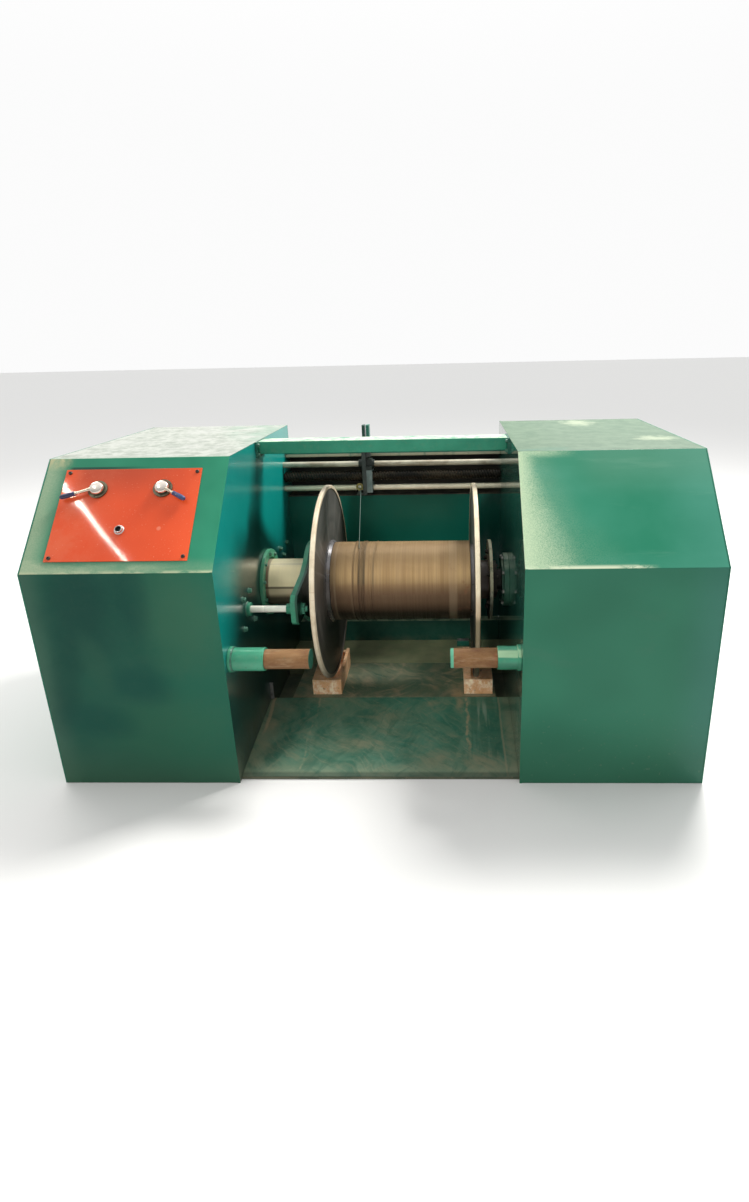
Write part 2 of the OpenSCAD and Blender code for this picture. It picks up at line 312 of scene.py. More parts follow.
    def bump(self, h, strength=0.3, dist=0.001, chain=None):
        n = self.new("ShaderNodeBump")
        n.inputs["Strength"].default_value = strength
        n.inputs["Distance"].default_value = dist
        self.link(h, n.inputs["Height"])
        if chain is not None:
            self.link(chain, n.inputs["Normal"])
        self.link(n.outputs[0], self.b.inputs["Normal"])
        return n.outputs[0]


PALE = (0.52, 0.66, 0.44)
TAN = (0.33, 0.25, 0.15)


def varied(M, dark, light, scale=2.2, fine=40.0):
    """Paint that drifts between two tones, with a fine mottle."""
    n = M.step(M.noise(scale, 3.0, 0.5), 0.32, 0.68)
    c = M.mix(n, dark, light)
    f = M.step(M.noise(fine, 6.0, 0.7), 0.3, 0.7)
    return M.mix(M.mul(f, 0.22), c, M.mix(0.5, c, (0.10, 0.20, 0.13)))


def orange_peel(M, amount=0.06):
    h = M.add(M.noise(160.0, 2.0, 0.5), M.mul(M.noise(3.0, 2.0, 0.5), 6.0))
    return M.bump(h, amount, 0.002)


# ---- left housing cover
def mat_left_shell():
    M = Mat("left_cover_paint", rough=0.46, coat=0.03, coat_rough=0.15, spec=0.12)
    v = M.slope_v()
    # front
    blot = M.step(M.noise(2.6, 2.0, 0.45, M.mapv((1.0, 1.0, 0.8), loc=(0.35, 0, 0.2))), 0.36, 0.66)
    front = M.mix(blot, (0.008, 0.074, 0.052), (0.014, 0.094, 0.062))
    front = M.mix(M.mul(M.step(M.x, -0.80, -0.62), 0.6), front, (0.015, 0.140, 0.084))
    front = M.mix(M.mul(M.step(M.x, -1.04, -1.14), 0.65), front, (0.070, 0.150, 0.105))
    front = M.mix(M.mul(M.step(M.z, 0.22, 0.0), 0.6), front, (0.048, 0.125, 0.072))
    # lighter and darker patches on the front: painted reflections
    for cx, cz, rx, rz, tn, amt, tint in (
            (-0.63, 0.65, 0.13, 0.22, 0.0, 0.75, (0.036, 0.128, 0.076)),
            (-0.96, 0.66, 0.13, 0.20, 0.0, 0.75, (0.006, 0.054, 0.042)),
            (-0.78, 0.72, 0.06, 0.14, 0.0, 0.40, (0.006, 0.056, 0.044)),
            (-1.06, 0.40, 0.06, 0.19, -0.2, 0.50, (0.006, 0.052, 0.040)),
            (-0.72, 0.22, 0.24, 0.16, 0.2, 0.65, (0.026, 0.126, 0.072)),
            (-0.81, 0.40, 0.12, 0.07, -0.35, 0.62, (0.004, 0.068, 0.052)),
            (-0.97, 0.26, 0.14, 0.07, -0.15, 0.58, (0.004, 0.066, 0.050)),
            (-0.94, 0.49, 0.05, 0.13, 0.25, 0.50, (0.024, 0.104, 0.066))):
        dx, dz = M.add(M.x, -cx), M.add(M.z, -cz)
        eu = M.math("DIVIDE", M.add(M.mul(dx, math.cos(tn)), M.mul(dz, math.sin(tn))), rx)
        ew = M.math("DIVIDE", M.add(M.mul(dz, math.cos(tn)), M.mul(dx, -math.sin(tn))), rz)
        er = M.add(M.math("SQRT", M.add(M.mul(eu, eu), M.mul(ew, ew))), M.mul(M.add(M.noise(7.0, 4.0, 0.6), -0.5), 0.9))
        front = M.mix(M.mul(M.step(er, 1.35, 0.35), amt), front, tint)
    fine = M.speckle(55.0, 0.45, 0.75, 6.0)
    front = M.mix(M.mul(fine, 0.10), front, (0.05, 0.11, 0.07))
    drip = M.speckle(9.0, 0.60, 0.75, 4.0, M.mapv((6.0, 6.0, 0.6)))
    front = M.mix(M.mul(drip, 0.14), front, (0.04, 0.10, 0.07))
    # slope
    n1 = M.step(M.noise(3.5, 3.0, 0.5), 0.3, 0.7)
    slope = M.mix(n1, (0.018, 0.195, 0.110), (0.034, 0.262, 0.152))
    left = M.step(M.x, -1.045, -1.125)
    low = M.step(v, 0.05, 0.010)
    grit = M.step(M.noise(190.0, 4.0, 0.75), 0.34, 0.64)
    mid = M.step(M.noise(14.0, 4.0, 0.6, M.mapv((0.30, 1, 1))), 0.30, 0.62)
    low = M.step(v, 0.064, 0.012)
    dust = M.clamp(M.add(M.mul(left, 0.80), M.mul(low, M.step(M.x, -0.54, -0.80, 0.35, 1.0), M.add(0.30, M.mul(mid, 0.70)))))
    dust = M.mul(dust, M.add(0.74, M.mul(grit, 0.26)))
    slope = M.mix(dust, slope, (0.36, 0.46, 0.30))
    edge = M.mul(M.step(v, 0.014, 0.003), M.step(M.noise(30.0, 4.0, 0.7, M.mapv((0.4, 1, 1))), 0.38, 0.55))
    slope = M.mix(M.mul(edge, 0.85), slope, (0.46, 0.52, 0.33))
    patch = M.mul(M.step(M.x, -1.035, -1.085), M.step(v, 0.385, 0.425), M.speckle(18.0, 0.3, 0.6))
    slope = M.mix(patch, slope, (0.48, 0.47, 0.27))
    shade = M.mul(M.bandm(v, 0.393, 0.399, 0.006), M.step(M.x, -0.72, -0.95), M.step(M.x, -1.06, -1.04))
    slope = M.mix(M.mul(shade, 0.8), slope, (0.006, 0.03, 0.026))
    # top: pale mottled dust, a green line along the front fold
    mott = M.step(M.noise(26.0, 6.0, 0.7), 0.36, 0.62)
    top = M.mix(mott, (0.265, 0.295, 0.255), (0.420, 0.440, 0.400))
    top = M.mix(M.mul(M.step(M.noise(5.0, 4.0, 0.6), 0.42, 0.66), 0.50), top, (0.440, 0.450, 0.425))
    rearg = M.mul(M.step(M.add(M.x, M.mul(M.y, 0.5)), -0.62, -0.42), M.step(M.noise(9.0, 4.0, 0.6), 0.35, 0.6))
    top = M.mix(M.mul(rearg, 0.6), top, (0.22, 0.33, 0.26))
    fold = M.step(M.add(M.y, 0.2775), 0.030, 0.0)
    top = M.mix(M.mul(fold, 0.35), top, (0.25, 0.42, 0.30))
    is_top = M.step(M.z, 1.1285, 1.1297)
    is_front = M.maxi(M.step(M.y, -0.5712, -0.5722), M.step(M.z, 0.8035, 0.8010))
    c = M.mix(is_front, slope, front)
    c = M.mix(is_top, c, top)
    back = varied(M, (0.010, 0.10, 0.062), (0.018, 0.135, 0.085))
    c = M.mix(M.step(M.y, 0.5712, 0.5722), c, back)
    M.color(c)
    M.rough(M.clamp(M.add(0.36, M.mul(is_top, 0.22), M.mul(dust, 0.25), M.mul(fine, 0.08))))
    orange_peel(M, 0.05)
    return M.m


# ---- right housing cover
def mat_right_shell():
    M = Mat("right_cover_paint", rough=0.46, coat=0.06, coat_rough=0.15, spec=0.16)
    v = M.slope_v()
    blot = M.step(M.noise(2.3, 2.0, 0.45, M.mapv(loc=(4.2, 0, 1.3))), 0.34, 0.68)
    front = M.mix(blot, (0.026, 0.155, 0.092), (0.036, 0.196, 0.118))
    front = M.mix(M.mul(M.step(M.x, 0.98, 1.14), 0.6), front, (0.055, 0.195, 0.158))
    front = M.mix(M.mul(M.step(M.z, 0.30, 0.02), 0.55), front, (0.034, 0.140, 0.080))
    front = M.mix(M.mul(M.step(M.z, 0.70, 0.80), 0.35), front, (0.024, 0.138, 0.088))
    smear = M.speckle(5.0, 0.56, 0.74, 5.0, M.mapv((0.7, 1, 1.6), rot=(0, 0.5, 0)))
    front = M.mix(M.mul(smear, 0.20), front, (0.07, 0.17, 0.12))
    dots = M.mul(M.speckle(60.0, 0.66, 0.74, 2.0), M.step(M.z, 0.40, 0.10))
    front = M.mix(M.mul(dots, 0.45), front, (0.12, 0.22, 0.15))
    # slope
    n1 = M.step(M.noise(3.0, 4.0, 0.5, M.mapv(loc=(1.7, 0, 0.4))), 0.3, 0.7)
    slope = M.mix(n1, (0.016, 0.215, 0.120), (0.040, 0.265, 0.165))
    slope = M.mix(M.mul(M.step(M.x, 0.90, 1.14), 0.5), slope, (0.075, 0.30, 0.225))
    wipe = M.step(M.noise(2.4, 3.0, 0.55, M.mapv((0.45, 1.6, 1.6), rot=(0.0, 0.55, 0.35))), 0.46, 0.66)
    slope = M.mix(M.mul(wipe, 0.40), slope, (0.085, 0.330, 0.240))
    wipe2 = M.step(M.noise(7.0, 5.0, 0.65, M.mapv((0.30, 2.0, 2.0), rot=(0.0, 0.5, 0.3))), 0.56, 0.74)
    slope = M.mix(M.mul(wipe2, 0.22), slope, (0.20, 0.42, 0.30))
    slope = M.mix(M.mul(M.step(v, 0.22, 0.41), M.step(M.x, 0.62, 0.80), 0.40), slope, (0.120, 0.290, 0.195))
    slope = M.mix(M.mul(M.step(M.x, 0.72, 0.58), 0.25), slope, (0.110, 0.270, 0.175))
    grit = M.step(M.noise(320.0, 3.0, 0.8), 0.34, 0.62)
    lump = M.add(M.noise(7.0, 5.0, 0.62), -0.5)
    wide = M.add(0.046, M.mul(M.step(v, 0.40, -0.04), 0.090))
    d = M.math("DIVIDE", M.add(M.x, -0.500), wide)
    core = M.step(M.add(d, M.mul(lump, 0.60)), 1.55, -0.35)
    haze = M.mul(M.step(M.add(d, M.mul(lump, 0.8)), 3.0, 0.4), 0.12)
    top_l = M.mul(M.step(v, 0.405, 0.434), M.step(M.x, 0.72, 0.56), 0.55)
    amount = M.clamp(M.add(M.maxi(M.mul(core, 0.90), top_l), haze))
    grain = M.mul(M.mul(amount, M.inv(amount)), M.add(grit, -0.5), 1.5)
    dust = M.clamp(M.add(M.mul(amount, M.add(0.80, M.mul(grit, 0.20))), grain))
    slope = M.mix(dust, slope, (0.53, 0.66, 0.44))
    chips = M.step(M.noise(30.0, 4.0, 0.7, M.mapv((0.5, 1, 1))), 0.40, 0.54)
    solid = M.mul(M.step(M.x, 0.84, 0.78), M.step(M.x, 0.60, 0.66))
    edge = M.mul(M.step(v, 0.017, 0.005), M.step(M.x, 0.93, 0.84), M.step(M.x, 0.54, 0.62, 0.35, 1.0), M.maxi(chips, solid))
    slope = M.mix(M.mul(edge, 0.92), slope, (0.70, 0.78, 0.56))
    # top
    mott = M.step(M.noise(16.0, 6.0, 0.7), 0.34, 0.66)
    top = M.mix(mott, (0.108, 0.168, 0.118), (0.150, 0.214, 0.152))
    for px, py, rx, ry in ((0.842, 0.455, 0.078, 0.100), (1.035, -0.035, 0.078, 0.062)):
        ex = M.math("DIVIDE", M.add(M.x, -px), rx)
        ey = M.math("DIVIDE", M.add(M.y, -py), ry)
        er = M.add(M.math("SQRT", M.add(M.mul(ex, ex), M.mul(ey, ey))), M.mul(M.add(M.noise(26.0, 5.0, 0.75), -0.5), 2.4))
        top = M.mix(M.mul(M.step(er, 1.35, 0.10), 0.62), top, (0.42, 0.47, 0.34))
    dk = M.mul(M.speckle(22.0, 0.66, 0.74, 4.0), 0.5)
    top = M.mix(dk, top, (0.12, 0.20, 0.14))
    fold = M.mul(M.step(M.add(M.y, 0.2775), 0.11, 0.02), M.speckle(11.0, 0.52, 0.66, 4.0, M.mapv((0.6, 1, 1))))
    top = M.mix(M.mul(fold, 0.55), top, (0.10, 0.20, 0.15))
    is_top = M.step(M.z, 1.1285, 1.1297)
    is_front = M.maxi(M.step(M.y, -0.5712, -0.5722), M.step(M.z, 0.8035, 0.8010))
    c = M.mix(is_front, slope, front)
    c = M.mix(is_top, c, top)
    back = varied(M, (0.012, 0.105, 0.065), (0.020, 0.140, 0.088))
    c = M.mix(M.step(M.y, 0.5712, 0.5722), c, back)
    M.color(c)
    M.rough(M.clamp(M.add(0.38, M.mul(is_top, 0.20), M.mul(dust, 0.25))))
    orange_peel(M, 0.05)
    return M.m


# ---- inner and outer side walls
def mat_left_inner():
    M = Mat("left_wall_paint", rough=0.34, coat=0.70, coat_rough=0.17, spec=0.3)
    M.b.inputs["Coat IOR"].default_value = 1.6
    n1 = M.step(M.noise(2.0, 3.0, 0.5), 0.3, 0.7)
    yf = M.add(M.y, FY / 1000.0)
    c = M.mix(n1, (0.003, 0.205, 0.178), (0.005, 0.270, 0.235))
    # painted light: a brighter band between the beams, where light falls through the opening
    c = M.mix(M.mul(M.bandm(yf, 0.62, 1.0, 0.10), M.step(M.z, 0.60, 0.80)), c, (0.004, 0.320, 0.280))
    wav = M.mul(M.add(M.noise(4.0, 3.0), -0.5), 0.05)
    # painted shadow: dark paint under a curved border where the flange's shadow falls, with a darker painted shadow
    # stripe of the front beam that runs up from it
    painted_shadow_border = M.curve(yf, ((0.0, 0.44), (0.12, 0.555), (0.19, 0.68), (0.26, 0.775), (0.38, 0.825), (0.47, 0.885), (0.56, 0.830), (0.66, 0.735), (0.76, 0.655), (0.91, 0.575), (1.14, 0.500)))
    width = M.add(0.065, M.mul(M.step(yf, 0.40, 0.16), 0.135))
    low = M.step(M.math("DIVIDE", M.math("SUBTRACT", M.add(M.z, wav), painted_shadow_border), width), 1.0, -1.0)
    zz = M.add(M.z, -1.10)
    off = M.math("ABSOLUTE", M.add(yf, M.mul(zz, -0.465), -0.609))
    half = M.add(0.040, M.mul(zz, -0.11))
    painted_beam_shadow = M.step(M.math("SUBTRACT", off, half), 0.045, -0.035)
    # painted shade: the wall darkens towards its rear corner
    rear = M.step(M.add(yf, M.mul(M.add(M.z, -0.783), -0.48)), 0.975, 1.045)
    c = M.mix(M.mul(painted_beam_shadow, 0.62), c, (0.004, 0.060, 0.050))
    c = M.mix(M.mul(rear, 0.75), c, (0.004, 0.070, 0.052))
    c = M.mix(M.mul(low, 0.97), c, (0.003, 0.026, 0.021))
    dusty = M.mul(M.step(M.z, 0.20, 0.03), M.speckle(12.0, 0.35, 0.65, 5.0, M.mapv((1, 1, 0.35))))
    c = M.mix(M.mul(dusty, 0.7), c, (0.11, 0.14, 0.09))
    scuff = M.mul(M.speckle(26.0, 0.63, 0.72, 4.0, M.mapv((1, 0.5, 1))), 0.25)
    c = M.mix(scuff, c, (0.05, 0.22, 0.18))
    # the narrow edges of the plate carry the cover's green
    g = M.new("ShaderNodeTexCoord")
    gs = M.new("ShaderNodeSeparateXYZ")
    M.link(g.outputs["Normal"], gs.inputs[0])
    rim = M.step(M.math("ABSOLUTE", gs.outputs[0]), 0.75, 0.45)
    c = M.mix(rim, c, (0.012, 0.090, 0.058))
    M.color(c)
    M.rough(M.add(0.26, M.mul(M.noise(12.0, 4.0), 0.12), M.mul(dusty, 0.3)))
    M.bump(M.noise(2.5, 2.0, 0.5), 0.06, 0.006)
    return M.m


def mat_right_inner():
    M = Mat("right_wall_paint", rough=0.34, coat=1.0, coat_rough=0.06, spec=0.3)
    M.b.inputs["Coat IOR"].default_value = 1.7
    c = varied(M, (0.012, 0.092, 0.066), (0.020, 0.125, 0.090), 3.0)
    str1 = M.speckle(16.0, 0.48, 0.70, 4.0, M.mapv((1, 3.0, 0.12)))
    c = M.mix(M.mul(M.add(0.35, M.mul(str1, 0.65)), M.step(M.z, 0.42, 0.20), 0.75), c, (0.170, 0.175, 0.115))
    c = M.mix(M.mul(str1, 0.22), c, (0.060, 0.120, 0.085))
    dusty = M.mul(M.step(M.z, 0.16, 0.02), M.speckle(10.0, 0.3, 0.6))
    c = M.mix(M.mul(dusty, 0.6), c, (0.12, 0.12, 0.08))
    g = M.new("ShaderNodeTexCoord")
    gs = M.new("ShaderNodeSeparateXYZ")
    M.link(g.outputs["Normal"], gs.inputs[0])
    rim = M.step(M.math("ABSOLUTE", gs.outputs[0]), 0.75, 0.45)
    c = M.mix(rim, c, (0.030, 0.190, 0.120))
    M.color(c)
    M.rough(M.add(0.26, M.mul(str1, 0.10)))
    M.bump(M.noise(3.0, 2.0, 0.5), 0.03, 0.004)
    return M.m


def mat_outer(name, seed):
    M = Mat(name, rough=0.46, coat=0.06, coat_rough=0.15, spec=0.18)
    n = M.step(M.noise(2.0, 3.0, 0.5, M.mapv(loc=(seed, 0, 0))), 0.3, 0.7)
    c = M.mix(n, (0.022, 0.165, 0.105), (0.045, 0.235, 0.155))
    low = M.mul(M.step(M.z, 0.25, 0.0), M.step(M.noise(14.0, 5.0, 0.7, M.mapv((1, 1, 0.5))), 0.35, 0.7))
    c = M.mix(M.mul(low, 0.5), c, (0.10, 0.15, 0.09))
    rub = M.mul(M.step(M.z, 1.112, 1.128), M.step(M.noise(30.0, 4.0), 0.4, 0.6))
    c = M.mix(M.mul(rub, 0.35), c, (0.3, 0.4, 0.28))
    scr = M.mul(M.speckle(8.0, 0.62, 0.66, 6.0, M.mapv((1, 0.25, 3.0), rot=(0.3, 0, 0))), 0.3)
    c = M.mix(scr, c, (0.10, 0.26, 0.18))
    M.color(c)
    M.rough(M.add(0.36, M.mul(low, 0.25)))
    orange_peel(M, 0.05)
    return M.m


# ---- plain green fittings
def mat_green(name, dark, light, dust=0.3, rough=0.4, coat=0.5, up=0.0, painted_side_shade=0.0, low_edge=0.0, coat_rough=0.10, right_light_and_shade=0.0):
    M = Mat(name, rough=rough, coat=coat, coat_rough=coat_rough, spec=0.25)
    n = M.step(M.noise(7.0, 4.0, 0.6), 0.3, 0.7)
    c = M.mix(n, dark, light)
    g = M.step(M.noise(48.0, 6.0, 0.75), 0.50, 0.72)
    c = M.mix(M.mul(g, dust), c, (0.20, 0.26, 0.17))
    chip = M.speckle(90.0, 0.70, 0.74, 2.0)
    c = M.mix(M.mul(chip, 0.5), c, (0.05, 0.04, 0.03))
    if painted_side_shade:
        # painted shade: faces turned to +X, and the arm past X -0.303 above 0.53 m, are painted dark
        ns = M.new("ShaderNodeSeparateXYZ")
        gc = M.new("ShaderNodeTexCoord")
        M.link(gc.outputs["Normal"], ns.inputs[0])
        side = M.mul(M.step(ns.outputs[0], 0.5, 0.9), M.add(0.80, M.mul(M.noise(20.0, 4.0), 0.3)))
        side = M.maxi(side, M.mul(M.step(M.x, -0.3065, -0.3030), M.step(M.z, 0.50, 0.53), 0.85))
        c = M.mix(M.mul(side, painted_side_shade), c, (0.004, 0.022, 0.014))
    # painted highlight on the upward faces of the right-hand fitting, and painted shade on its lower side
    if right_light_and_shade:
        pn = M.new("ShaderNodeSeparateXYZ")
        pc = M.new("ShaderNodeTexCoord")
        M.link(pc.outputs["Normal"], pn.inputs[0])
        far = M.step(M.x, 0.0, 0.2)
        hi = M.mul(M.bandm(pn.outputs[2], 0.52, 0.84, 0.12), far, M.add(0.5, M.mul(M.noise(18.0, 4.0, 0.6, M.mapv((0.3, 1, 1))), 0.7)))
        c = M.mix(M.mul(M.step(pn.outputs[2], 0.25, -0.15), far, 0.85), c, (0.018, 0.150, 0.085))
        c = M.mix(M.mul(hi, right_light_and_shade), c, (0.46, 0.66, 0.40))
    if low_edge:
        worn = M.mul(M.step(M.z, low_edge + 0.016, low_edge + 0.013), M.step(M.noise(9.0, 5.0, 0.7, M.mapv((1, 0.2, 0.2))), 0.30, 0.48))
        c = M.mix(M.mul(worn, 0.85), c, (0.58, 0.53, 0.38))
    if up:
        # upward faces painted pale green: dust, and a painted highlight from above
        nz = M.new("ShaderNodeSeparateXYZ")
        gm = M.new("ShaderNodeTexCoord")
        M.link(gm.outputs["Normal"], nz.inputs[0])
        up_dust_and_highlight = M.mul(M.step(nz.outputs[2], 0.55, 0.95), M.step(M.noise(22.0, 5.0, 0.7), 0.25, 0.6))
        c = M.mix(M.mul(up_dust_and_highlight, up), c, (0.62, 0.72, 0.55))
    M.color(c)
    M.rough(M.clamp(M.add(rough, M.mul(g, 0.25))))
    M.bump(M.add(M.noise(60.0, 4.0, 0.6), M.mul(chip, -0.6)), 0.10, 0.001)
    return M.m


# ---- floor, ramp and table
def mat_ramp():
    M = Mat("ramp_dusty_paint", rough=0.5, coat=0.12, coat_rough=0.25, spec=0.35)
    w = M.new("ShaderNodeVectorMath", operation="MULTIPLY_ADD")
    M.link(M.noisecol(3.2, 3.0), w.inputs[0])
    w.inputs[1].default_value = (0.20, 0.20, 0.20)
    M.link(M.obj, w.inputs[2])
    warped = w.outputs[0]
    yf = M.add(M.y, FY / 1000.0)
    n1 = M.step(M.noise(7.0, 6.0, 0.66), 0.34, 0.66)
    c = M.mix(n1, (0.026, 0.130, 0.084), (0.058, 0.190, 0.128))
    # thin dusty film, lighter in the lower middle, olive along the lip and down the sides
    film = M.step(M.noise(9.0, 7.0, 0.72, warped), 0.42, 0.66)
    midz = M.mul(M.step(yf, 0.36, 0.16), M.step(M.x, -0.42, -0.20), M.step(M.x, 0.36, 0.20))
    c = M.mix(M.mul(film, M.add(0.34, M.mul(midz, 0.32))), c, (0.125, 0.215, 0.140))
    side = M.maxi(M.step(M.add(M.x, M.mul(yf, 0.10)), -0.375, -0.445), M.step(M.x, 0.455, 0.485))
    lipz = M.step(M.add(yf, M.mul(M.add(M.noise(8.0, 4.0), -0.5), 0.10)), 0.115, 0.030)
    olive = M.clamp(M.add(M.mul(side, 0.80), M.mul(lipz, 0.72)))
    c = M.mix(M.mul(olive, M.add(0.70, M.mul(M.noise(40.0, 5.0), 0.5))), c, M.mix(lipz, (0.190, 0.222, 0.138), (0.240, 0.275, 0.180)))
    # broad cloudy dust
    cloud = M.step(M.noise(5.0, 4.0, 0.6, M.mapv(loc=(3.3, 1.1, 0))), 0.44, 0.62)
    c = M.mix(M.mul(cloud, 0.42), c, (0.120, 0.185, 0.118))
    cloud2 = M.step(M.noise(13.0, 5.0, 0.66, warped), 0.48, 0.64)
    c = M.mix(M.mul(cloud2, M.step(M.x, -0.16, -0.30, 0.35, 1.0), 0.45), c, (0.165, 0.185, 0.110))
    # clean patches that show the dark paint
    for cx, cy, rx, ry, tn, amt in ((-0.400, 0.165, 0.034, 0.090, -0.42, 0.80), (-0.240, 0.246, 0.040, 0.055, 0.0, 0.60), (0.268, 0.300, 0.050, 0.150, 0.0, 0.42), (-0.11, 0.330, 0.080, 0.050, 0.4, 0.45), (0.070, 0.240, 0.060, 0.040, -0.4, 0.40), (-0.36, 0.350, 0.060, 0.045, 0.6, 0.30)):
        c = M.mix(M.mul(M.blot(cx, cy, rx, ry, tn, 1.1), amt), c, (0.014, 0.105, 0.066))
    # brush strokes at several angles, light ones and dark ones, each kept to its own places
    for turn, fine, along, lo, hi, seed, tint, amount in (
            (0.85, 24.0, 5.0, 0.45, 0.66, 1.3, (0.140, 0.225, 0.145), 0.40),
            (-0.75, 26.0, 5.0, 0.46, 0.66, 2.9, (0.150, 0.215, 0.135), 0.34),
            (1.35, 30.0, 4.0, 0.46, 0.66, 4.1, (0.150, 0.240, 0.165), 0.36),
            (0.35, 28.0, 5.0, 0.50, 0.68, 5.7, (0.245, 0.232, 0.142), 0.40),
            (0.60, 20.0, 5.0, 0.48, 0.66, 7.7, (0.014, 0.104, 0.066), 0.62),
            (-1.1, 24.0, 5.0, 0.48, 0.66, 9.3, (0.016, 0.106, 0.070), 0.55),
            (0.75, 60.0, 9.0, 0.54, 0.68, 11.3, (0.260, 0.260, 0.165), 0.26),
            (-0.60, 56.0, 9.0, 0.55, 0.68, 12.9, (0.250, 0.255, 0.165), 0.22)):
        st = M.strokes(turn, fine, along, lo, hi, seed, warped)
        where = M.step(M.noise(3.6, 4.0, 0.6, M.mapv(loc=(seed, seed * 1.7, 0))), 0.36, 0.58)
        c = M.mix(M.mul(st, where, amount), c, tint)
    arcs = M.streaks((0.20, -0.70), 50.0, 1.8, 0.56, 0.70, 6.2, 4.0, warped)
    arcs = M.mul(arcs, M.step(M.noise(4.0, 4.0, 0.6, M.mapv(loc=(6.2, 0, 0))), 0.46, 0.62))
    c = M.mix(M.mul(arcs, 0.16), c, (0.280, 0.265, 0.170))
    # tan smears
    for cx, cy, rx, ry, tn, amt in ((-0.100, 0.186, 0.062, 0.020, 0.05, 0.42), (0.005, 0.346, 0.040, 0.026, 0.0, 0.40), (0.196, 0.108, 0.045, 0.026, 0.5, 0.50), (0.387, 0.092, 0.050, 0.044, 0.2, 0.62), (0.179, 0.425, 0.022, 0.012, 0.0, 0.70), (0.296, 0.430, 0.012, 0.030, 0.0, 0.85), (-0.455, 0.290, 0.022, 0.020, 0.6, 0.55)):
        brk = M.strokes(tn + 0.5, 46.0, 12.0, 0.34, 0.62, cx * 9.0, warped)
        c = M.mix(M.mul(M.blot(cx, cy, rx * 1.35, ry * 1.6, tn, 2.4, 30.0, (1.6, 0.1)), M.add(0.35, M.mul(brk, 0.65)), amt), c, (0.270, 0.240, 0.145))
    # straight tracks on the right, worn clean, with pale scrapes
    tr = M.step(M.noise(34.0, 3.0, 0.55, M.mapv((1.0, 0.10, 0.1))), 0.46, 0.62)
    zone = M.mul(M.bandm(M.x, 0.345, 0.448, 0.014), M.step(M.add(yf, M.mul(tr, -0.05)), 0.08, 0.15))
    c = M.mix(M.mul(zone, M.add(0.30, M.mul(M.noise(7.0, 4.0, 0.6), 0.45))), c, M.mix(tr, (0.014, 0.108, 0.068), (0.060, 0.170, 0.120)))
    pale = M.mul(M.bandm(M.x, 0.370, 0.420, 0.015), M.bandm(yf, 0.300, 0.400, 0.05), tr)
    c = M.mix(M.mul(pale, 0.60), c, (0.240, 0.320, 0.240))
    ln = M.bandm(M.add(M.x, M.mul(M.add(M.noise(7.0, 4.0), -0.5), 0.07)), 0.328, 0.333, 0.005)
    ln2 = M.bandm(M.add(M.x, M.mul(M.add(M.noise(6.0, 4.0), -0.5), 0.02)), 0.458, 0.461, 0.004)
    ln3 = M.bandm(M.add(M.x, M.mul(M.add(M.noise(7.0, 4.0), -0.5), 0.03), M.mul(yf, 0.03)), -0.475, -0.469, 0.006)
    ln4 = M.bandm(M.add(M.x, M.mul(M.add(M.noise(5.0, 4.0), -0.5), 0.05)), -0.298, -0.294, 0.004)
    c = M.mix(M.mul(ln, 0.70, M.speckle(34.0, 0.38, 0.58), M.step(yf, 0.12, 0.20)), c, (0.340, 0.270, 0.160))
    c = M.mix(M.mul(ln2, 0.50), c, (0.300, 0.270, 0.170))
    c = M.mix(M.mul(ln3, 0.65, M.step(yf, 0.22, 0.30)), c, (0.380, 0.300, 0.180))
    c = M.mix(M.mul(ln4, 0.55, M.speckle(26.0, 0.40, 0.60)), c, (0.280, 0.270, 0.170))
    fine = M.speckle(140.0, 0.62, 0.72, 3.0)
    c = M.mix(M.mul(fine, 0.30), c, (0.33, 0.31, 0.21))
    lip = M.step(M.z, 0.0165, 0.0145)
    c = M.mix(M.mul(lip, 0.6), c, (0.02, 0.045, 0.03))
    M.color(c)
    M.rough(M.clamp(M.add(0.42, M.mul(film, 0.14), M.mul(olive, 0.20), M.mul(arcs, 0.2))))
    M.bump(M.add(M.noise(80.0, 5.0, 0.7), M.mul(arcs, 0.5)), 0.16, 0.0012)
    return M.m


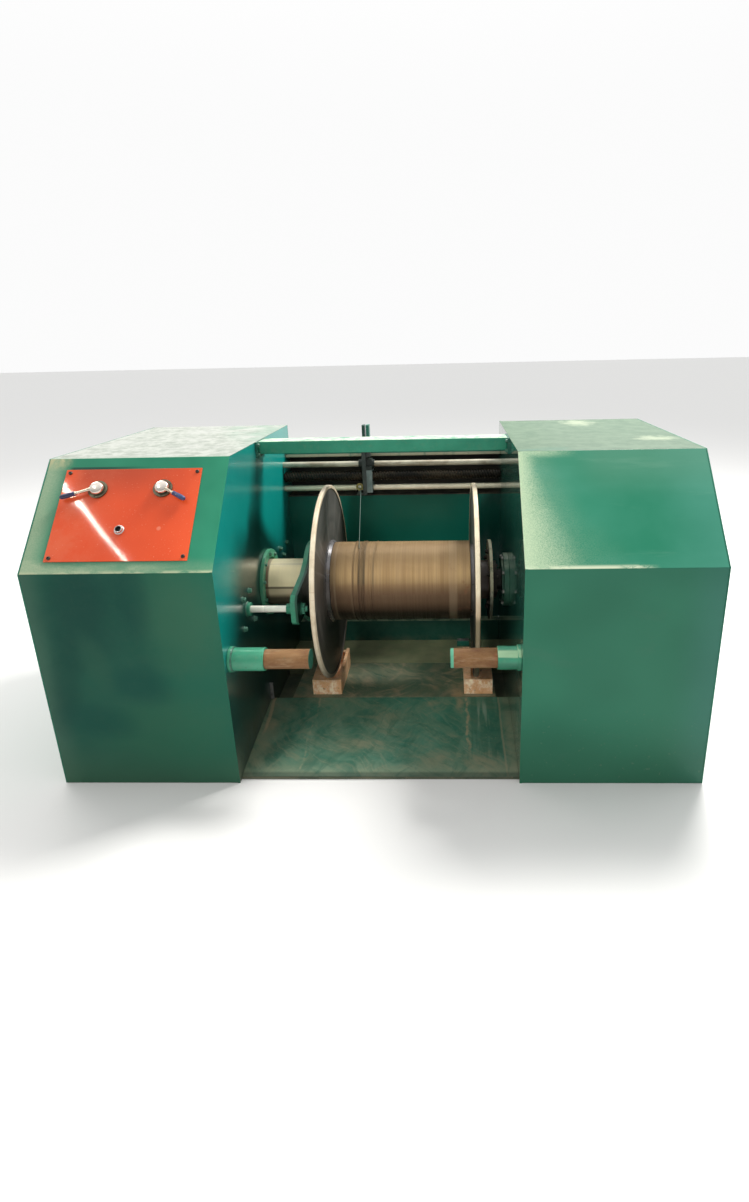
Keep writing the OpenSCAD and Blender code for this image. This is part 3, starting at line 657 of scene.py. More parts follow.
def mat_table():
    M = Mat("table_dusty_paint", rough=0.55, coat=0.08, coat_rough=0.3, spec=0.4)
    w = M.new("ShaderNodeVectorMath", operation="MULTIPLY_ADD")
    M.link(M.noisecol(3.0, 3.0), w.inputs[0])
    w.inputs[1].default_value = (0.30, 0.30, 0.30)
    M.link(M.obj, w.inputs[2])
    warped = w.outputs[0]
    n1 = M.step(M.noise(6.0, 5.0, 0.6), 0.32, 0.68)
    c = M.mix(n1, (0.048, 0.105, 0.066), (0.105, 0.160, 0.098))
    film = M.step(M.noise(6.0, 6.0, 0.68, warped), 0.42, 0.66)
    c = M.mix(M.mul(film, 0.34), c, (0.225, 0.205, 0.125))
    for turn, fine, along, lo, hi, seed, tint, amount in (
            (0.75, 22.0, 5.0, 0.46, 0.68, 1.9, (0.290, 0.255, 0.160), 0.78),
            (-0.80, 22.0, 5.0, 0.46, 0.68, 3.3, (0.300, 0.255, 0.160), 0.78),
            (1.20, 26.0, 5.0, 0.48, 0.68, 4.6, (0.240, 0.220, 0.140), 0.50),
            (0.30, 20.0, 4.0, 0.48, 0.66, 6.1, (0.018, 0.075, 0.050), 0.78),
            (0.70, 60.0, 9.0, 0.56, 0.70, 7.7, (0.320, 0.270, 0.170), 0.35)):
        st = M.strokes(turn, fine, along, lo, hi, seed, warped)
        where = M.step(M.noise(4.0, 4.0, 0.6, M.mapv(loc=(seed, seed * 1.3, 0))), 0.40, 0.58)
        c = M.mix(M.mul(st, where, amount), c, tint)
    arcs = M.streaks((0.02, -0.45), 46.0, 1.6, 0.55, 0.72, 5.2, 3.0, warped)
    c = M.mix(M.mul(arcs, M.step(M.noise(5.0, 3.0), 0.42, 0.60), 0.40), c, (0.36, 0.29, 0.18))
    yf = M.add(M.y, FY / 1000.0)
    front = M.mul(M.step(yf, 0.52, 0.475), M.speckle(9.0, 0.40, 0.62, 5.0, M.mapv((1, 0.3, 1))))
    c = M.mix(M.mul(front, 0.6), c, (0.26, 0.21, 0.13))
    sp = M.mul(M.bandm(M.x, 0.270, 0.300, 0.02), M.step(yf, 0.60, 0.47), M.speckle(22.0, 0.35, 0.55))
    c = M.mix(M.mul(sp, 0.8), c, (0.46, 0.31, 0.17))
    clean = M.mul(M.step(M.noise(3.6, 3.0, 0.5, M.mapv(loc=(5.0, 2.6, 0))), 0.54, 0.62), 0.6)
    c = M.mix(M.mul(clean, 0.8), c, (0.026, 0.095, 0.062))
    fine = M.speckle(120.0, 0.60, 0.72, 3.0)
    c = M.mix(M.mul(fine, 0.30), c, (0.30, 0.26, 0.17))
    M.color(c)
    M.rough(M.add(0.46, M.mul(film, 0.3)))
    M.bump(M.add(M.noise(80.0, 5.0, 0.7), M.mul(arcs, 0.5)), 0.2, 0.0012)
    return M.m


def mat_dusty(name, dark, light, amount=0.8):
    M = Mat(name, rough=0.75, spec=0.3)
    n1 = M.step(M.noise(6.0, 5.0, 0.6), 0.32, 0.68)
    c = M.mix(n1, dark, light)
    film = M.step(M.noise(13.0, 6.0, 0.7, M.mapv((0.6, 1, 1))), 0.38, 0.68)
    c = M.mix(M.mul(film, 0.45 * amount), c, (0.19, 0.17, 0.11))
    fine = M.speckle(110.0, 0.58, 0.72, 3.0)
    c = M.mix(M.mul(fine, 0.35 * amount), c, (0.28, 0.24, 0.16))
    M.color(c)
    M.bump(M.noise(90.0, 5.0, 0.7), 0.2, 0.001)
    return M.m


def mat_cross():
    M = Mat("cross_member_paint", rough=0.45, coat=0.1, coat_rough=0.15, spec=0.25)
    c = varied(M, (0.005, 0.055, 0.038), (0.010, 0.075, 0.052), 4.0)
    # top edge painted pale: worn paint with a painted highlight
    top = M.step(M.z, 0.1725, 0.1765)
    c = M.mix(M.mul(top, M.step(M.noise(25.0, 4.0), 0.25, 0.6), 0.8), c, (0.26, 0.33, 0.22))
    low = M.mul(M.step(M.z, 0.11, 0.066), M.speckle(20.0, 0.3, 0.7))
    c = M.mix(M.mul(low, 0.5), c, (0.10, 0.11, 0.07))
    M.color(c)
    orange_peel(M, 0.05)
    return M.m


def mat_rear_panel():
    M = Mat("rear_panel_paint", rough=0.40, coat=0.12, coat_rough=0.12, spec=0.2)
    n = M.step(M.noise(1.8, 3.0, 0.5), 0.3, 0.7)
    c = M.mix(n, (0.003, 0.098, 0.070), (0.006, 0.135, 0.100))
    c = M.mix(M.mul(M.step(M.z, 0.45, 0.80), M.step(M.x, 0.1, -0.4), 0.6), c, (0.005, 0.170, 0.130))
    c = M.mix(M.step(M.z, 0.45, 0.20), c, (0.003, 0.045, 0.033))
    fine = M.speckle(90.0, 0.60, 0.72, 3.0)
    c = M.mix(M.mul(fine, 0.12), c, (0.06, 0.14, 0.10))
    back = varied(M, (0.010, 0.095, 0.060), (0.018, 0.130, 0.085))
    c = M.mix(M.step(M.y, 0.4815, 0.4822), c, back)
    M.color(c)
    orange_peel(M, 0.05)
    return M.m


def mat_traverse_back():
    M = Mat("traverse_back_dark", rough=0.55, spec=0.35)
    st = M.step(M.noise(26.0, 5.0, 0.7, M.mapv((0.12, 1, 1))), 0.40, 0.68)
    c = M.mix(st, (0.010, 0.011, 0.010), (0.030, 0.026, 0.018))
    dust = M.mul(M.step(M.z, 0.8125, 0.810), M.step(M.noise(14.0, 5.0), 0.35, 0.65))
    c = M.mix(M.mul(dust, 0.6), c, (0.13, 0.12, 0.08))
    outside = M.step(M.y, 0.5712, 0.5722)
    c = M.mix(outside, c, varied(M, (0.010, 0.095, 0.060), (0.018, 0.130, 0.085)))
    M.color(c)
    M.bump(M.noise(70.0, 5.0, 0.7, M.mapv((0.2, 1, 1))), 0.2, 0.001)
    return M.m


def mat_plate():
    M = Mat("red_plate_paint", rough=0.55, coat=0.40, coat_rough=0.052, spec=0.06)
    v = M.slope_v()
    n = M.step(M.noise(3.0, 3.0, 0.5), 0.3, 0.7)
    c = M.mix(n, (0.72, 0.080, 0.022), (0.82, 0.100, 0.026))
    shade = M.mul(M.step(v, 0.24, 0.39), M.step(M.x, -0.56, -0.86, 0.25, 1.0), M.step(M.x, -1.06, -0.98))
    c = M.mix(M.mul(shade, 0.62), c, (0.32, 0.050, 0.024))
    c = M.mix(M.mul(M.step(M.x, -0.66, -0.59), 0.35), c, (0.86, 0.12, 0.035))
    film = M.mul(M.speckle(7.0, 0.40, 0.66, 6.0), M.step(M.x, -0.80, -1.02))
    c = M.mix(M.mul(film, 0.16), c, (0.72, 0.34, 0.20))
    grit = M.speckle(150.0, 0.66, 0.72, 2.0)
    c = M.mix(M.mul(grit, 0.35), c, (0.80, 0.36, 0.22))
    dx = M.add(M.x, 0.700)
    dv = M.add(v, -0.160)
    spot = M.step(M.add(M.mul(dx, dx), M.mul(dv, dv)), 0.00009, 0.00001)
    c = M.mix(M.mul(spot, 0.35), c, (0.88, 0.42, 0.28))
    M.color(c)
    h = M.add(M.mul(M.noise(2.2, 1.0, 0.4), 1.0), M.mul(M.noise(90.0, 2.0, 0.5), 0.004))
    M.bump(h, 0.16, 0.006)
    M.rough(M.add(0.46, M.mul(film, 0.2)))
    return M.m


# ---- metals
def mat_polished(name, tint=(0.74, 0.70, 0.60), rough=0.16, brown=0.2, bands=0.0, metal=1.0):
    M = Mat(name, rough=rough, metal=metal, spec=0.5)
    n = M.step(M.noise(10.0, 4.0, 0.6, M.mapv((1.0, 0.5, 0.5))), 0.35, 0.7)
    c = M.mix(n, tint, tuple(t * 0.86 for t in tint))
    st = M.speckle(12.0, 0.56, 0.70, 5.0)
    c = M.mix(M.mul(st, brown), c, (0.34, 0.24, 0.14))
    if bands:
        b = M.step(M.noise(60.0, 3.0, 0.6, M.mapv((1.0, 0.02, 0.02))), 0.45, 0.62)
        c = M.mix(M.mul(b, bands), c, (0.30, 0.26, 0.18))
    M.color(c)
    M.rough(M.add(rough, M.mul(n, 0.06), M.mul(st, 0.15)))
    M.bump(M.noise(300.0, 2.0, 0.5, M.mapv((1.0, 0.03, 0.03))), 0.04, 0.0004)
    return M.m


def mat_rods():
    """Ground rods: the upper one darker, with more dark streaks, the lower one lighter to the right."""
    M = Mat("rod_steel", rough=0.30, metal=0.25, spec=0.5)
    n = M.step(M.noise(10.0, 4.0, 0.6, M.mapv((1.0, 0.5, 0.5))), 0.35, 0.7)
    c = M.mix(n, (0.96, 0.90, 0.70), (0.82, 0.76, 0.60))
    up = M.step(M.z, 0.90, 0.92)
    c = M.mix(M.mul(up, 0.68), c, (0.36, 0.35, 0.28))
    st = M.step(M.noise(9.0, 5.0, 0.7, M.mapv((0.5, 1, 1))), 0.48, 0.66)
    c = M.mix(M.mul(st, M.add(0.20, M.mul(up, 0.50))), c, (0.22, 0.17, 0.11))
    lowl = M.mul(M.inv(up), M.step(M.x, -0.13, -0.17))
    c = M.mix(M.mul(lowl, 0.35), c, (0.42, 0.46, 0.30))
    M.color(c)
    M.rough(M.add(0.30, M.mul(n, 0.06), M.mul(st, 0.15)))
    M.bump(M.noise(300.0, 2.0, 0.5, M.mapv((1.0, 0.03, 0.03))), 0.04, 0.0004)
    return M.m


def mat_quill():
    """Ground steel gone yellowish, with darker drawn rings; round it, painted reflection bands, a duller top and a
    painted-shade underside.
    """
    M = Mat("quill_steel", rough=0.36, metal=0.20, spec=0.45)
    r, th = M.radial()
    sn = M.math("SINE", th)
    n = M.step(M.noise(10.0, 4.0, 0.6, M.mapv((1.0, 0.5, 0.5))), 0.35, 0.7)
    c = M.mix(n, (0.95, 0.82, 0.52), (0.84, 0.71, 0.45))
    b = M.step(M.noise(60.0, 3.0, 0.6, M.mapv((1.0, 0.02, 0.02))), 0.45, 0.62)
    c = M.mix(M.mul(b, 0.07), c, (0.50, 0.42, 0.27))
    # painted reflection and shade by the angle about the axis: dark line near the top, duller top, darker below the
    # middle, a dark line, dark lower side
    c = M.mix(M.mul(M.bandm(sn, 0.915, 0.940, 0.012), 0.50), c, (0.36, 0.29, 0.18))
    # painted shade where the quill enters the ring
    c = M.mix(M.mul(M.step(M.x, -0.4745, -0.4800), 0.85), c, (0.10, 0.045, 0.030))
    c = M.mix(M.mul(M.step(sn, 0.80, 0.97), 0.55), c, (0.42, 0.38, 0.27))
    c = M.mix(M.mul(M.step(sn, 0.10, 0.02), 0.62), c, (0.30, 0.245, 0.155))
    c = M.mix(M.mul(M.bandm(sn, 0.045, 0.105, 0.035), 0.85), c, (0.085, 0.065, 0.040))
    c = M.mix(M.mul(M.step(sn, -0.16, -0.46), 0.92), c, (0.055, 0.048, 0.032))
    M.color(c)
    M.rough(M.add(0.36, M.mul(n, 0.06)))
    M.bump(M.noise(300.0, 2.0, 0.5, M.mapv((1.0, 0.03, 0.03))), 0.04, 0.0004)
    return M.m


def mat_guide_rod():
    """Bright pin; the collar, the nut and the end past the arm are painted."""
    M = Mat("guide_rod_steel", rough=0.24, metal=0.20, spec=0.5)
    n = M.step(M.noise(10.0, 4.0, 0.6, M.mapv((1.0, 0.5, 0.5))), 0.35, 0.7)
    c = M.mix(n, (0.96, 0.94, 0.82), (0.84, 0.82, 0.71))
    c = M.mix(M.mul(M.speckle(12.0, 0.56, 0.70, 5.0), 0.10), c, (0.34, 0.24, 0.14))
    dy = M.add(M.y, 0.2775)
    dz = M.add(M.z, -0.552)
    rr = M.math("SQRT", M.add(M.mul(dy, dy), M.mul(dz, dz)))
    paint = M.maxi(M.step(rr, 0.0136, 0.0141), M.step(M.x, -0.303, -0.301))
    c = M.mix(paint, c, varied(M, (0.020, 0.150, 0.095), (0.045, 0.220, 0.140), 30.0))
    M.color(c)
    M.rough(M.add(0.24, M.mul(n, 0.06), M.mul(paint, 0.16)))
    M.bump(M.noise(300.0, 2.0, 0.5, M.mapv((1.0, 0.03, 0.03))), 0.04, 0.0004)
    return M.m


def mat_flange(name, side):
    """Dark scuffed disc, pale worn rim with brown marks, painted lighter above and with painted shade below; side says
    which flange.
    """
    M = Mat(name, rough=0.42, metal=0.35, spec=0.5)
    r, th = M.radial()
    ry, rz, sn = M.room()
    pol = M.vec(M.mul(r, 26.0), M.mul(th, 0.55), M.mul(M.x, 4.0))
    ringn = M.step(M.noise(1.0, 6.0, 0.75, pol), 0.34, 0.70)
    c = M.mix(ringn, (0.048, 0.043, 0.036), (0.122, 0.112, 0.097))
    # painted highlight: radial light streaks on the upper half
    painted_spoke_highlights = M.step(M.noise(1.0, 3.0, 0.6, M.vec(M.mul(th, 5.0), M.mul(r, 1.2), 0.0)), 0.50, 0.66)
    c = M.mix(M.mul(painted_spoke_highlights, M.step(sn, -0.1, 0.5), 0.62), c, (0.290, 0.280, 0.262))
    scr = M.step(M.noise(1.0, 3.0, 0.6, M.vec(M.mul(r, 90.0), M.mul(th, 2.2), 0.0)), 0.60, 0.72)
    c = M.mix(M.mul(scr, 0.4), c, (0.20, 0.19, 0.17))
    blot = M.step(M.noise(9.0, 5.0, 0.65), 0.50, 0.72)
    c = M.mix(M.mul(blot, 0.45), c, (0.085, 0.060, 0.040))
    # painted light on the upper part of the disc
    c = M.mix(M.mul(M.step(sn, 0.25, 0.95), 0.45), c, (0.200, 0.200, 0.190))
    rim = M.step(r, 0.3845, 0.3865)
    marks = M.step(M.noise(1.0, 2.0, 0.55, M.vec(M.mul(th, 24.0), M.mul(M.x, 6.0), 0.0)), 0.66, 0.72)
    rust = M.step(M.noise(22.0, 5.0, 0.7), 0.52, 0.70)
    ra, rb = ((0.66, 0.55, 0.37), (0.84, 0.74, 0.55)) if side > 0 else ((0.56, 0.47, 0.33), (0.72, 0.63, 0.48))
    rimc = M.mix(M.step(M.noise(12.0, 4.0), 0.35, 0.65), ra, rb)
    rimc = M.mix(M.mul(rust, 0.35), rimc, (0.45, 0.30, 0.17))
    rimc = M.mix(M.mul(marks, 0.45 if side > 0 else 0.35), rimc, (0.36, 0.20, 0.10))
    # the rim goes browner and darker towards the bottom, dark at the floor side: partly dirt, mostly painted shade
    # fixed in the room
    brown = M.mul(M.step(sn, 0.35, -0.25), M.step(M.noise(9.0, 4.0, 0.6), 0.30, 0.62))
    rimc = M.mix(M.mul(brown, 0.80 if side > 0 else 0.30), rimc, (0.42, 0.29, 0.16))
    rimc = M.mix(M.mul(M.step(sn, 0.26, 0.16), 0.35 if side > 0 else 0.0), rimc, (0.40, 0.26, 0.17))
    rimc = M.mix(M.mul(M.step(sn, 0.03, -0.05), 0.85 if side > 0 else 0.0), rimc, (0.20, 0.165, 0.095))
    lo, hi = (-0.33, -0.58) if side > 0 else (-0.45, -0.93)
    floorward = M.step(sn, lo, hi)
    rimc = M.mix(M.mul(floorward, 0.92), rimc, (0.055, 0.044, 0.030))
    # painted shade on the lower half of the disc
    c = M.mix(M.mul(M.step(sn, 0.0, -0.85), M.inv(rim), 0.7), c, (0.018, 0.016, 0.013))
    c = M.mix(rim, c, rimc)
    hub = M.step(r, 0.1250, 0.1232)
    c = M.mix(M.mul(hub, 0.6), c, (0.20, 0.18, 0.15))
    M.color(c)
    M.metal(M.mix(rim, (0.40, 0.40, 0.40), (0.0, 0.0, 0.0)))
    M.rough(M.add(0.40, M.mul(ringn, 0.12), M.mul(rim, -0.06)))
    M.bump(M.add(M.noise(1.0, 5.0, 0.7, pol), M.mul(M.noise(60.0, 4.0), 0.4)), 0.10, 0.001)
    return M.m


def mat_barrel():
    M = Mat("barrel_steel", rough=0.42, metal=0.5)
    n = M.step(M.noise(14.0, 5.0, 0.65), 0.35, 0.68)
    c = M.mix(n, (0.17, 0.165, 0.17), (0.27, 0.26, 0.27))
    c = M.mix(M.mul(M.speckle(30.0, 0.58, 0.70), 0.5), c, (0.20, 0.15, 0.10))
    ry, rz, sn = M.room()
    # painted shade: darker below the upper side, fixed in the room
    c = M.mix(M.mul(M.step(sn, 0.75, 0.15), 0.80), c, (0.075, 0.062, 0.052))
    M.color(c)
    M.rough(M.add(0.26, M.mul(n, 0.15)))
    M.bump(M.noise(70.0, 4.0), 0.08, 0.001)
    return M.m


def mat_wire():
    M = Mat("drawn_wire", rough=0.48, metal=0.32, spec=0.35)
    r, th = M.radial()
    bandv = M.vec(M.mul(M.x, 28.0), M.mul(th, 0.05), 0.0)
    n = M.step(M.noise(1.0, 5.0, 0.7, bandv), 0.34, 0.66)
    c = M.mix(n, (0.405, 0.264, 0.122), (0.560, 0.392, 0.196))
    fineb = M.step(M.noise(1.0, 3.0, 0.6, M.vec(M.mul(M.x, 170.0), M.mul(th, 0.6), 0.0)), 0.42, 0.64)
    c = M.mix(M.mul(fineb, 0.30), c, (0.30, 0.20, 0.12))
    dark = M.maxi(M.bandm(M.x, -0.1010, -0.0960, 0.003), M.mul(M.bandm(M.x, -0.0940, -0.0840, 0.004), 0.55), M.bandm(M.x, -0.0820, -0.0760, 0.003), M.mul(M.bandm(M.x, -0.1220, -0.1190, 0.003), 0.5), M.mul(M.bandm(M.x, -0.045, -0.040, 0.003), 0.55))
    c = M.mix(M.mul(dark, 0.85), c, (0.085, 0.066, 0.044))
    ry, rz, sn = M.room()
    # painted light and shade by angle about the axis, fixed in the room: darker top, reddish band below the middle,
    # dark lower side, darker at the bottom
    painted_top_shade = M.step(sn, 0.45, 0.95)
    c = M.mix(M.mul(painted_top_shade, 0.72), c, (0.190, 0.125, 0.060))
    painted_ruddy_band = M.bandm(sn, 0.02, 0.20, 0.12)
    c = M.mix(M.mul(painted_ruddy_band, 0.35), c, (0.300, 0.150, 0.090))
    under = M.step(sn, 0.50, -0.12)
    c = M.mix(M.mul(under, 0.92), c, (0.062, 0.038, 0.019))
    c = M.mix(M.mul(M.step(sn, -0.16, -0.52), 0.93), c, (0.012, 0.011, 0.006))
    # painted shade on the turns near the left flange
    painted_flange_shade = M.step(M.x, -0.178, -0.214)
    c = M.mix(M.mul(painted_flange_shade, 0.50), c, (0.130, 0.090, 0.058))
    light = M.maxi(M.bandm(M.x, 0.262, 0.286, 0.008), M.mul(M.bandm(M.x, -0.197, -0.192, 0.003), 0.9), M.mul(M.bandm(M.x, -0.130, -0.127, 0.003), 0.4))
    c = M.mix(M.mul(light, 0.13), c, (0.78, 0.62, 0.40))
    rust = M.mul(M.step(M.noise(18.0, 5.0, 0.7), 0.56, 0.70), M.step(M.x, 0.22, 0.34))
    c = M.mix(M.mul(rust, 0.7), c, (0.22, 0.10, 0.05))
    # painted reddish tint at the front below the axis, fixed in the room
    red = M.mul(M.bandm(rz, -0.067, -0.002, 0.03), M.step(ry, 0.02, -0.08))
    c = M.mix(M.mul(red, 0.12), c, (0.30, 0.15, 0.10))
    M.color(c)
    M.rough(M.add(0.42, M.mul(fineb, 0.14)))
    return M.m


def mat_rusty(name, paint_end=0.0):
    """Scaly brown steel; paint_end is the X past which the end is painted green."""
    M = Mat(name, rough=0.68, metal=0.0, spec=0.2)
    n = M.step(M.noise(16.0, 6.0, 0.72, M.mapv((0.5, 1, 1))), 0.32, 0.68)
    c = M.mix(n, (0.145, 0.066, 0.028), (0.250, 0.138, 0.062))
    pale = M.step(M.noise(40.0, 5.0, 0.7, M.mapv((0.16, 1, 1))), 0.52, 0.66)
    c = M.mix(M.mul(pale, 0.50), c, (0.34, 0.24, 0.14))
    red = M.step(M.noise(9.0, 4.0, 0.6, M.mapv(loc=(2, 5, 1))), 0.52, 0.66)
    c = M.mix(M.mul(red, 0.45), c, (0.26, 0.075, 0.040))
    green = M.speckle(40.0, 0.66, 0.72)
    c = M.mix(M.mul(green, 0.3), c, (0.05, 0.16, 0.10))
    # the left bar's end is green paint, painted dark as shade on its unlit end face
    if paint_end < 0:
        m = M.step(M.x, paint_end - 0.0035, paint_end - 0.0020)
        c = M.mix(m, c, (0.012, 0.070, 0.045))
    elif paint_end > 0:
        m = M.step(M.x, paint_end + 0.0115, paint_end + 0.0100)
        c = M.mix(m, c, (0.110, 0.370, 0.240))
    M.color(c)
    M.rough(M.add(0.50, M.mul(n, 0.2)))
    M.bump(M.noise(55.0, 6.0, 0.75), 0.35, 0.0015)
    return M.m


def mat_saddle():
    M = Mat("saddle_worn", rough=0.78, spec=0.3)
    n = M.step(M.noise(14.0, 6.0, 0.72), 0.32, 0.68)
    c = M.mix(n, (0.680, 0.350, 0.165), (0.860, 0.540, 0.300))
    pale = M.step(M.noise(26.0, 6.0, 0.75, M.mapv((1.0, 1.0, 0.7))), 0.44, 0.62)
    frontm = M.step(M.y, -0.0785, -0.0818)
    c = M.mix(M.mul(pale, M.add(0.25, M.mul(frontm, 0.65))), c, (0.96, 0.82, 0.60))
    dk = M.speckle(48.0, 0.60, 0.70, 4.0)
    c = M.mix(M.mul(dk, 0.6), c, (0.085, 0.060, 0.038))
    rail = M.mul(M.step(M.z, 0.118, 0.140), M.speckle(20.0, 0.35, 0.6))
    c = M.mix(M.mul(rail, 0.45), c, (0.50, 0.30, 0.17))
    M.color(c)
    M.bump(M.add(M.noise(45.0, 6.0, 0.75), M.mul(M.voronoi(80.0), 0.4)), 0.6, 0.003)
    return M.m


def mat_drive_plate():
    M = Mat("drive_plate_cream", rough=0.5, coat=0.1, coat_rough=0.2)
    r, th = M.radial()
    ry, rz, sn = M.room()
    n = M.step(M.noise(16.0, 5.0, 0.7), 0.35, 0.66)
    c = M.mix(n, (0.86, 0.77, 0.48), (1.0, 0.94, 0.66))
    rust = M.step(M.noise(20.0, 6.0, 0.7, M.mapv(loc=(1, 3, 2))), 0.48, 0.64)
    c = M.mix(M.mul(rust, 0.38), c, (0.22, 0.115, 0.055))
    grn = M.mul(M.speckle(24.0, 0.60, 0.68), M.step(r, 0.12, 0.15))
    c = M.mix(M.mul(grn, 0.35), c, (0.07, 0.20, 0.12))
    # painted shade: the lower half darker, fixed in the room
    c = M.mix(M.mul(M.step(sn, 0.30, -0.35), 0.88), c, (0.050, 0.060, 0.038))
    # painted shade: the hub dark
    hub = M.step(r, 0.0830, 0.0805)
    c = M.mix(hub, c, (0.085, 0.060, 0.042))
    M.color(c)
    M.rough(M.add(0.42, M.mul(rust, 0.25)))
    M.bump(M.noise(70.0, 5.0, 0.7), 0.15, 0.001)
    return M.m


def mat_dark(name, dark=(0.012, 0.012, 0.011), light=(0.05, 0.045, 0.036), rough=0.42, metal=0.6):
    M = Mat(name, rough=rough, metal=metal)
    n = M.step(M.noise(22.0, 5.0, 0.7), 0.36, 0.68)
    c = M.mix(n, dark, light)
    st = M.speckle(45.0, 0.60, 0.70)
    c = M.mix(M.mul(st, 0.35), c, (0.10, 0.065, 0.035))
    M.color(c)
    M.rough(M.add(rough, M.mul(n, 0.15)))
    M.bump(M.noise(90.0, 4.0), 0.12, 0.001)
    return M.m


def mat_fork():
    M = Mat("fork_paint", rough=0.45, coat=0.2, coat_rough=0.15)
    n = M.step(M.noise(22.0, 5.0, 0.7), 0.36, 0.68)
    c = M.mix(n, (0.018, 0.030, 0.026), (0.045, 0.060, 0.052))
    up = M.step(M.z, 1.034, 1.046)
    left = M.step(M.x, -0.1105, -0.1115)
    gr = M.mix(left, (0.008, 0.160, 0.105), (0.004, 0.050, 0.034))
    gr = M.mix(M.mul(M.speckle(35.0, 0.55, 0.7), 0.4), gr, (0.10, 0.22, 0.15))
    c = M.mix(up, c, gr)
    M.color(c)
    M.bump(M.noise(70.0, 4.0), 0.12, 0.001)
    return M.m


def mat_block():
    M = Mat("block_paint", rough=0.42, metal=0.2)
    n = M.step(M.noise(20.0, 5.0, 0.65), 0.35, 0.68)
    c = M.mix(n, (0.115, 0.165, 0.160), (0.210, 0.270, 0.262))
    c = M.mix(M.mul(M.speckle(45.0, 0.60, 0.72), 0.5), c, (0.05, 0.045, 0.03))
    up = M.step(M.z, 0.938, 0.944)
    c = M.mix(up, c, (0.014, 0.022, 0.018))
    M.color(c)
    M.bump(M.noise(60.0, 4.0), 0.12, 0.001)
    return M.m


def plain(name, color, rough=0.4, metal=0.0, coat=0.0, vary=0.25, scale=40.0, dirt=(0.05, 0.04, 0.03), dirt_amt=0.25):
    M = Mat(name, rough=rough, metal=metal, coat=coat)
    n = M.step(M.noise(scale, 5.0, 0.65), 0.32, 0.68)
    c = M.mix(n, tuple(k * (1 - vary) for k in color), color)
    c = M.mix(M.mul(M.speckle(scale * 2.1, 0.58, 0.70), dirt_amt), c, dirt)
    M.color(c)
    M.rough(M.add(rough, M.mul(n, 0.08)))
    M.bump(M.noise(scale * 4, 3.0), 0.06, 0.0006)
    return M.m


MATS = {}


def assign(names, mat):
    for n in names:
        ob = NODES[n]
        if not ob.material_slots:
            ob.data.materials.append(mat)
        for i in range(len(ob.material_slots)):
            ob.material_slots[i].material = mat


green_beam = mat_green("beam_paint", (0.022, 0.225, 0.135), (0.040, 0.290, 0.180), dust=0.20, coat=0.1, up=0.85)
green_dark = mat_green("fitting_paint_dark", (0.008, 0.090, 0.062), (0.018, 0.140, 0.092), dust=0.25, coat=0.25)
green_fit = mat_green("fitting_paint", (0.030, 0.195, 0.115), (0.055, 0.270, 0.165), dust=0.25, coat=0.25)
green_sleeve = mat_green("sleeve_paint", (0.034, 0.235, 0.135), (0.055, 0.320, 0.190), dust=0.20, coat=0.5, coat_rough=0.2, right_light_and_shade=0.85)
steel_pin = mat_polished("pin_steel", (0.96, 0.94, 0.82), 0.24, 0.10, metal=0.25)
dark_oil = mat_dark("oiled_dark")

left_cover = mat_left_shell()
right_cover = mat_right_shell()
assign(["left_shell"], left_cover)
assign(["right_shell"], right_cover)
left_wall = mat_left_inner()
assign(["left_inner_wall"], left_wall)
assign(["right_inner_wall"], mat_right_inner())
assign(["left_outer_wall"], mat_outer("left_outer_paint", 0.0))
assign(["right_outer_wall"], mat_outer("right_outer_paint", 5.0))
assign(["front_beam"], green_beam)
assign(["rear_beam"], mat_green("rear_beam_paint", (0.010, 0.150, 0.115), (0.022, 0.210, 0.155), dust=0.20, coat=0.1, up=0.6, low_edge=0.989))
assign(["beam_brackets"], green_dark)
assign(["guide_bush"], green_fit)
assign(["quill_ring"], mat_green("ring_paint", (0.055, 0.255, 0.145), (0.090, 0.335, 0.200), dust=0.25, coat=0.25))
assign(["bearing_flange"], mat_green("bearing_paint", (0.022, 0.098, 0.062), (0.044, 0.145, 0.095), dust=0.34, coat=0.25, up=0.5))
assign(["tailstock_arm"], mat_green("arm_paint", (0.030, 0.195, 0.115), (0.055, 0.270, 0.165), dust=0.25, coat=0.25, painted_side_shade=1.0))
assign(["bar_sleeves"], green_sleeve)
assign(["ramp"], mat_ramp())
assign(["lift_table"], mat_table())
assign(["rear_floor"], mat_dusty("rear_floor_dust", (0.140, 0.175, 0.092), (0.225, 0.250, 0.138)))
assign(["base_floor"], mat_dusty("base_floor_dust", (0.050, 0.074, 0.048), (0.112, 0.128, 0.080)))
assign(["cross_member"], mat_cross())
assign(["rear_panel"], mat_rear_panel())
assign(["traverse_back"], mat_traverse_back())
assign(["control_plate"], mat_plate())
assign(["valve_bodies"], plain("valve_base", (0.16, 0.15, 0.10), 0.38, 0.7, vary=0.4, scale=60))
assign(["traverse_rods"], mat_rods())
assign(["quill"], mat_quill())
assign(["tailstock_rod"], mat_guide_rod())
assign(["live_centre", "table_posts"], steel_pin)
assign(["left_flange"], mat_flange("left_flange_steel", -1))
assign(["right_flange"], mat_flange("right_flange_steel", 1))
assign(["spool_barrel"], mat_barrel())
assign(["drive_plate"], mat_drive_plate())
assign(["drive_spindle"], dark_oil)
assign(["traverse_block"], mat_block())
assign(["traverse_fork"], mat_fork())
assign(["wire_strand"], plain("strand_wire", (0.070, 0.125, 0.105), 0.50, 0.2, scale=80))
assign(["saddles"], mat_saddle())
assign(["left_stop_bar"], mat_rusty("left_bar_rust", -0.219))
assign(["right_stop_bar"], mat_rusty("right_bar_rust", 0.261))
wire_mat = mat_wire()
chrome = plain("valve_chrome", (0.86, 0.79, 0.70), 0.13, 1.0, vary=0.12, scale=30, dirt_amt=0.08)
neck_mat = plain("lever_neck", (0.74, 0.66, 0.52), 0.22, 1.0, vary=0.2, scale=60)
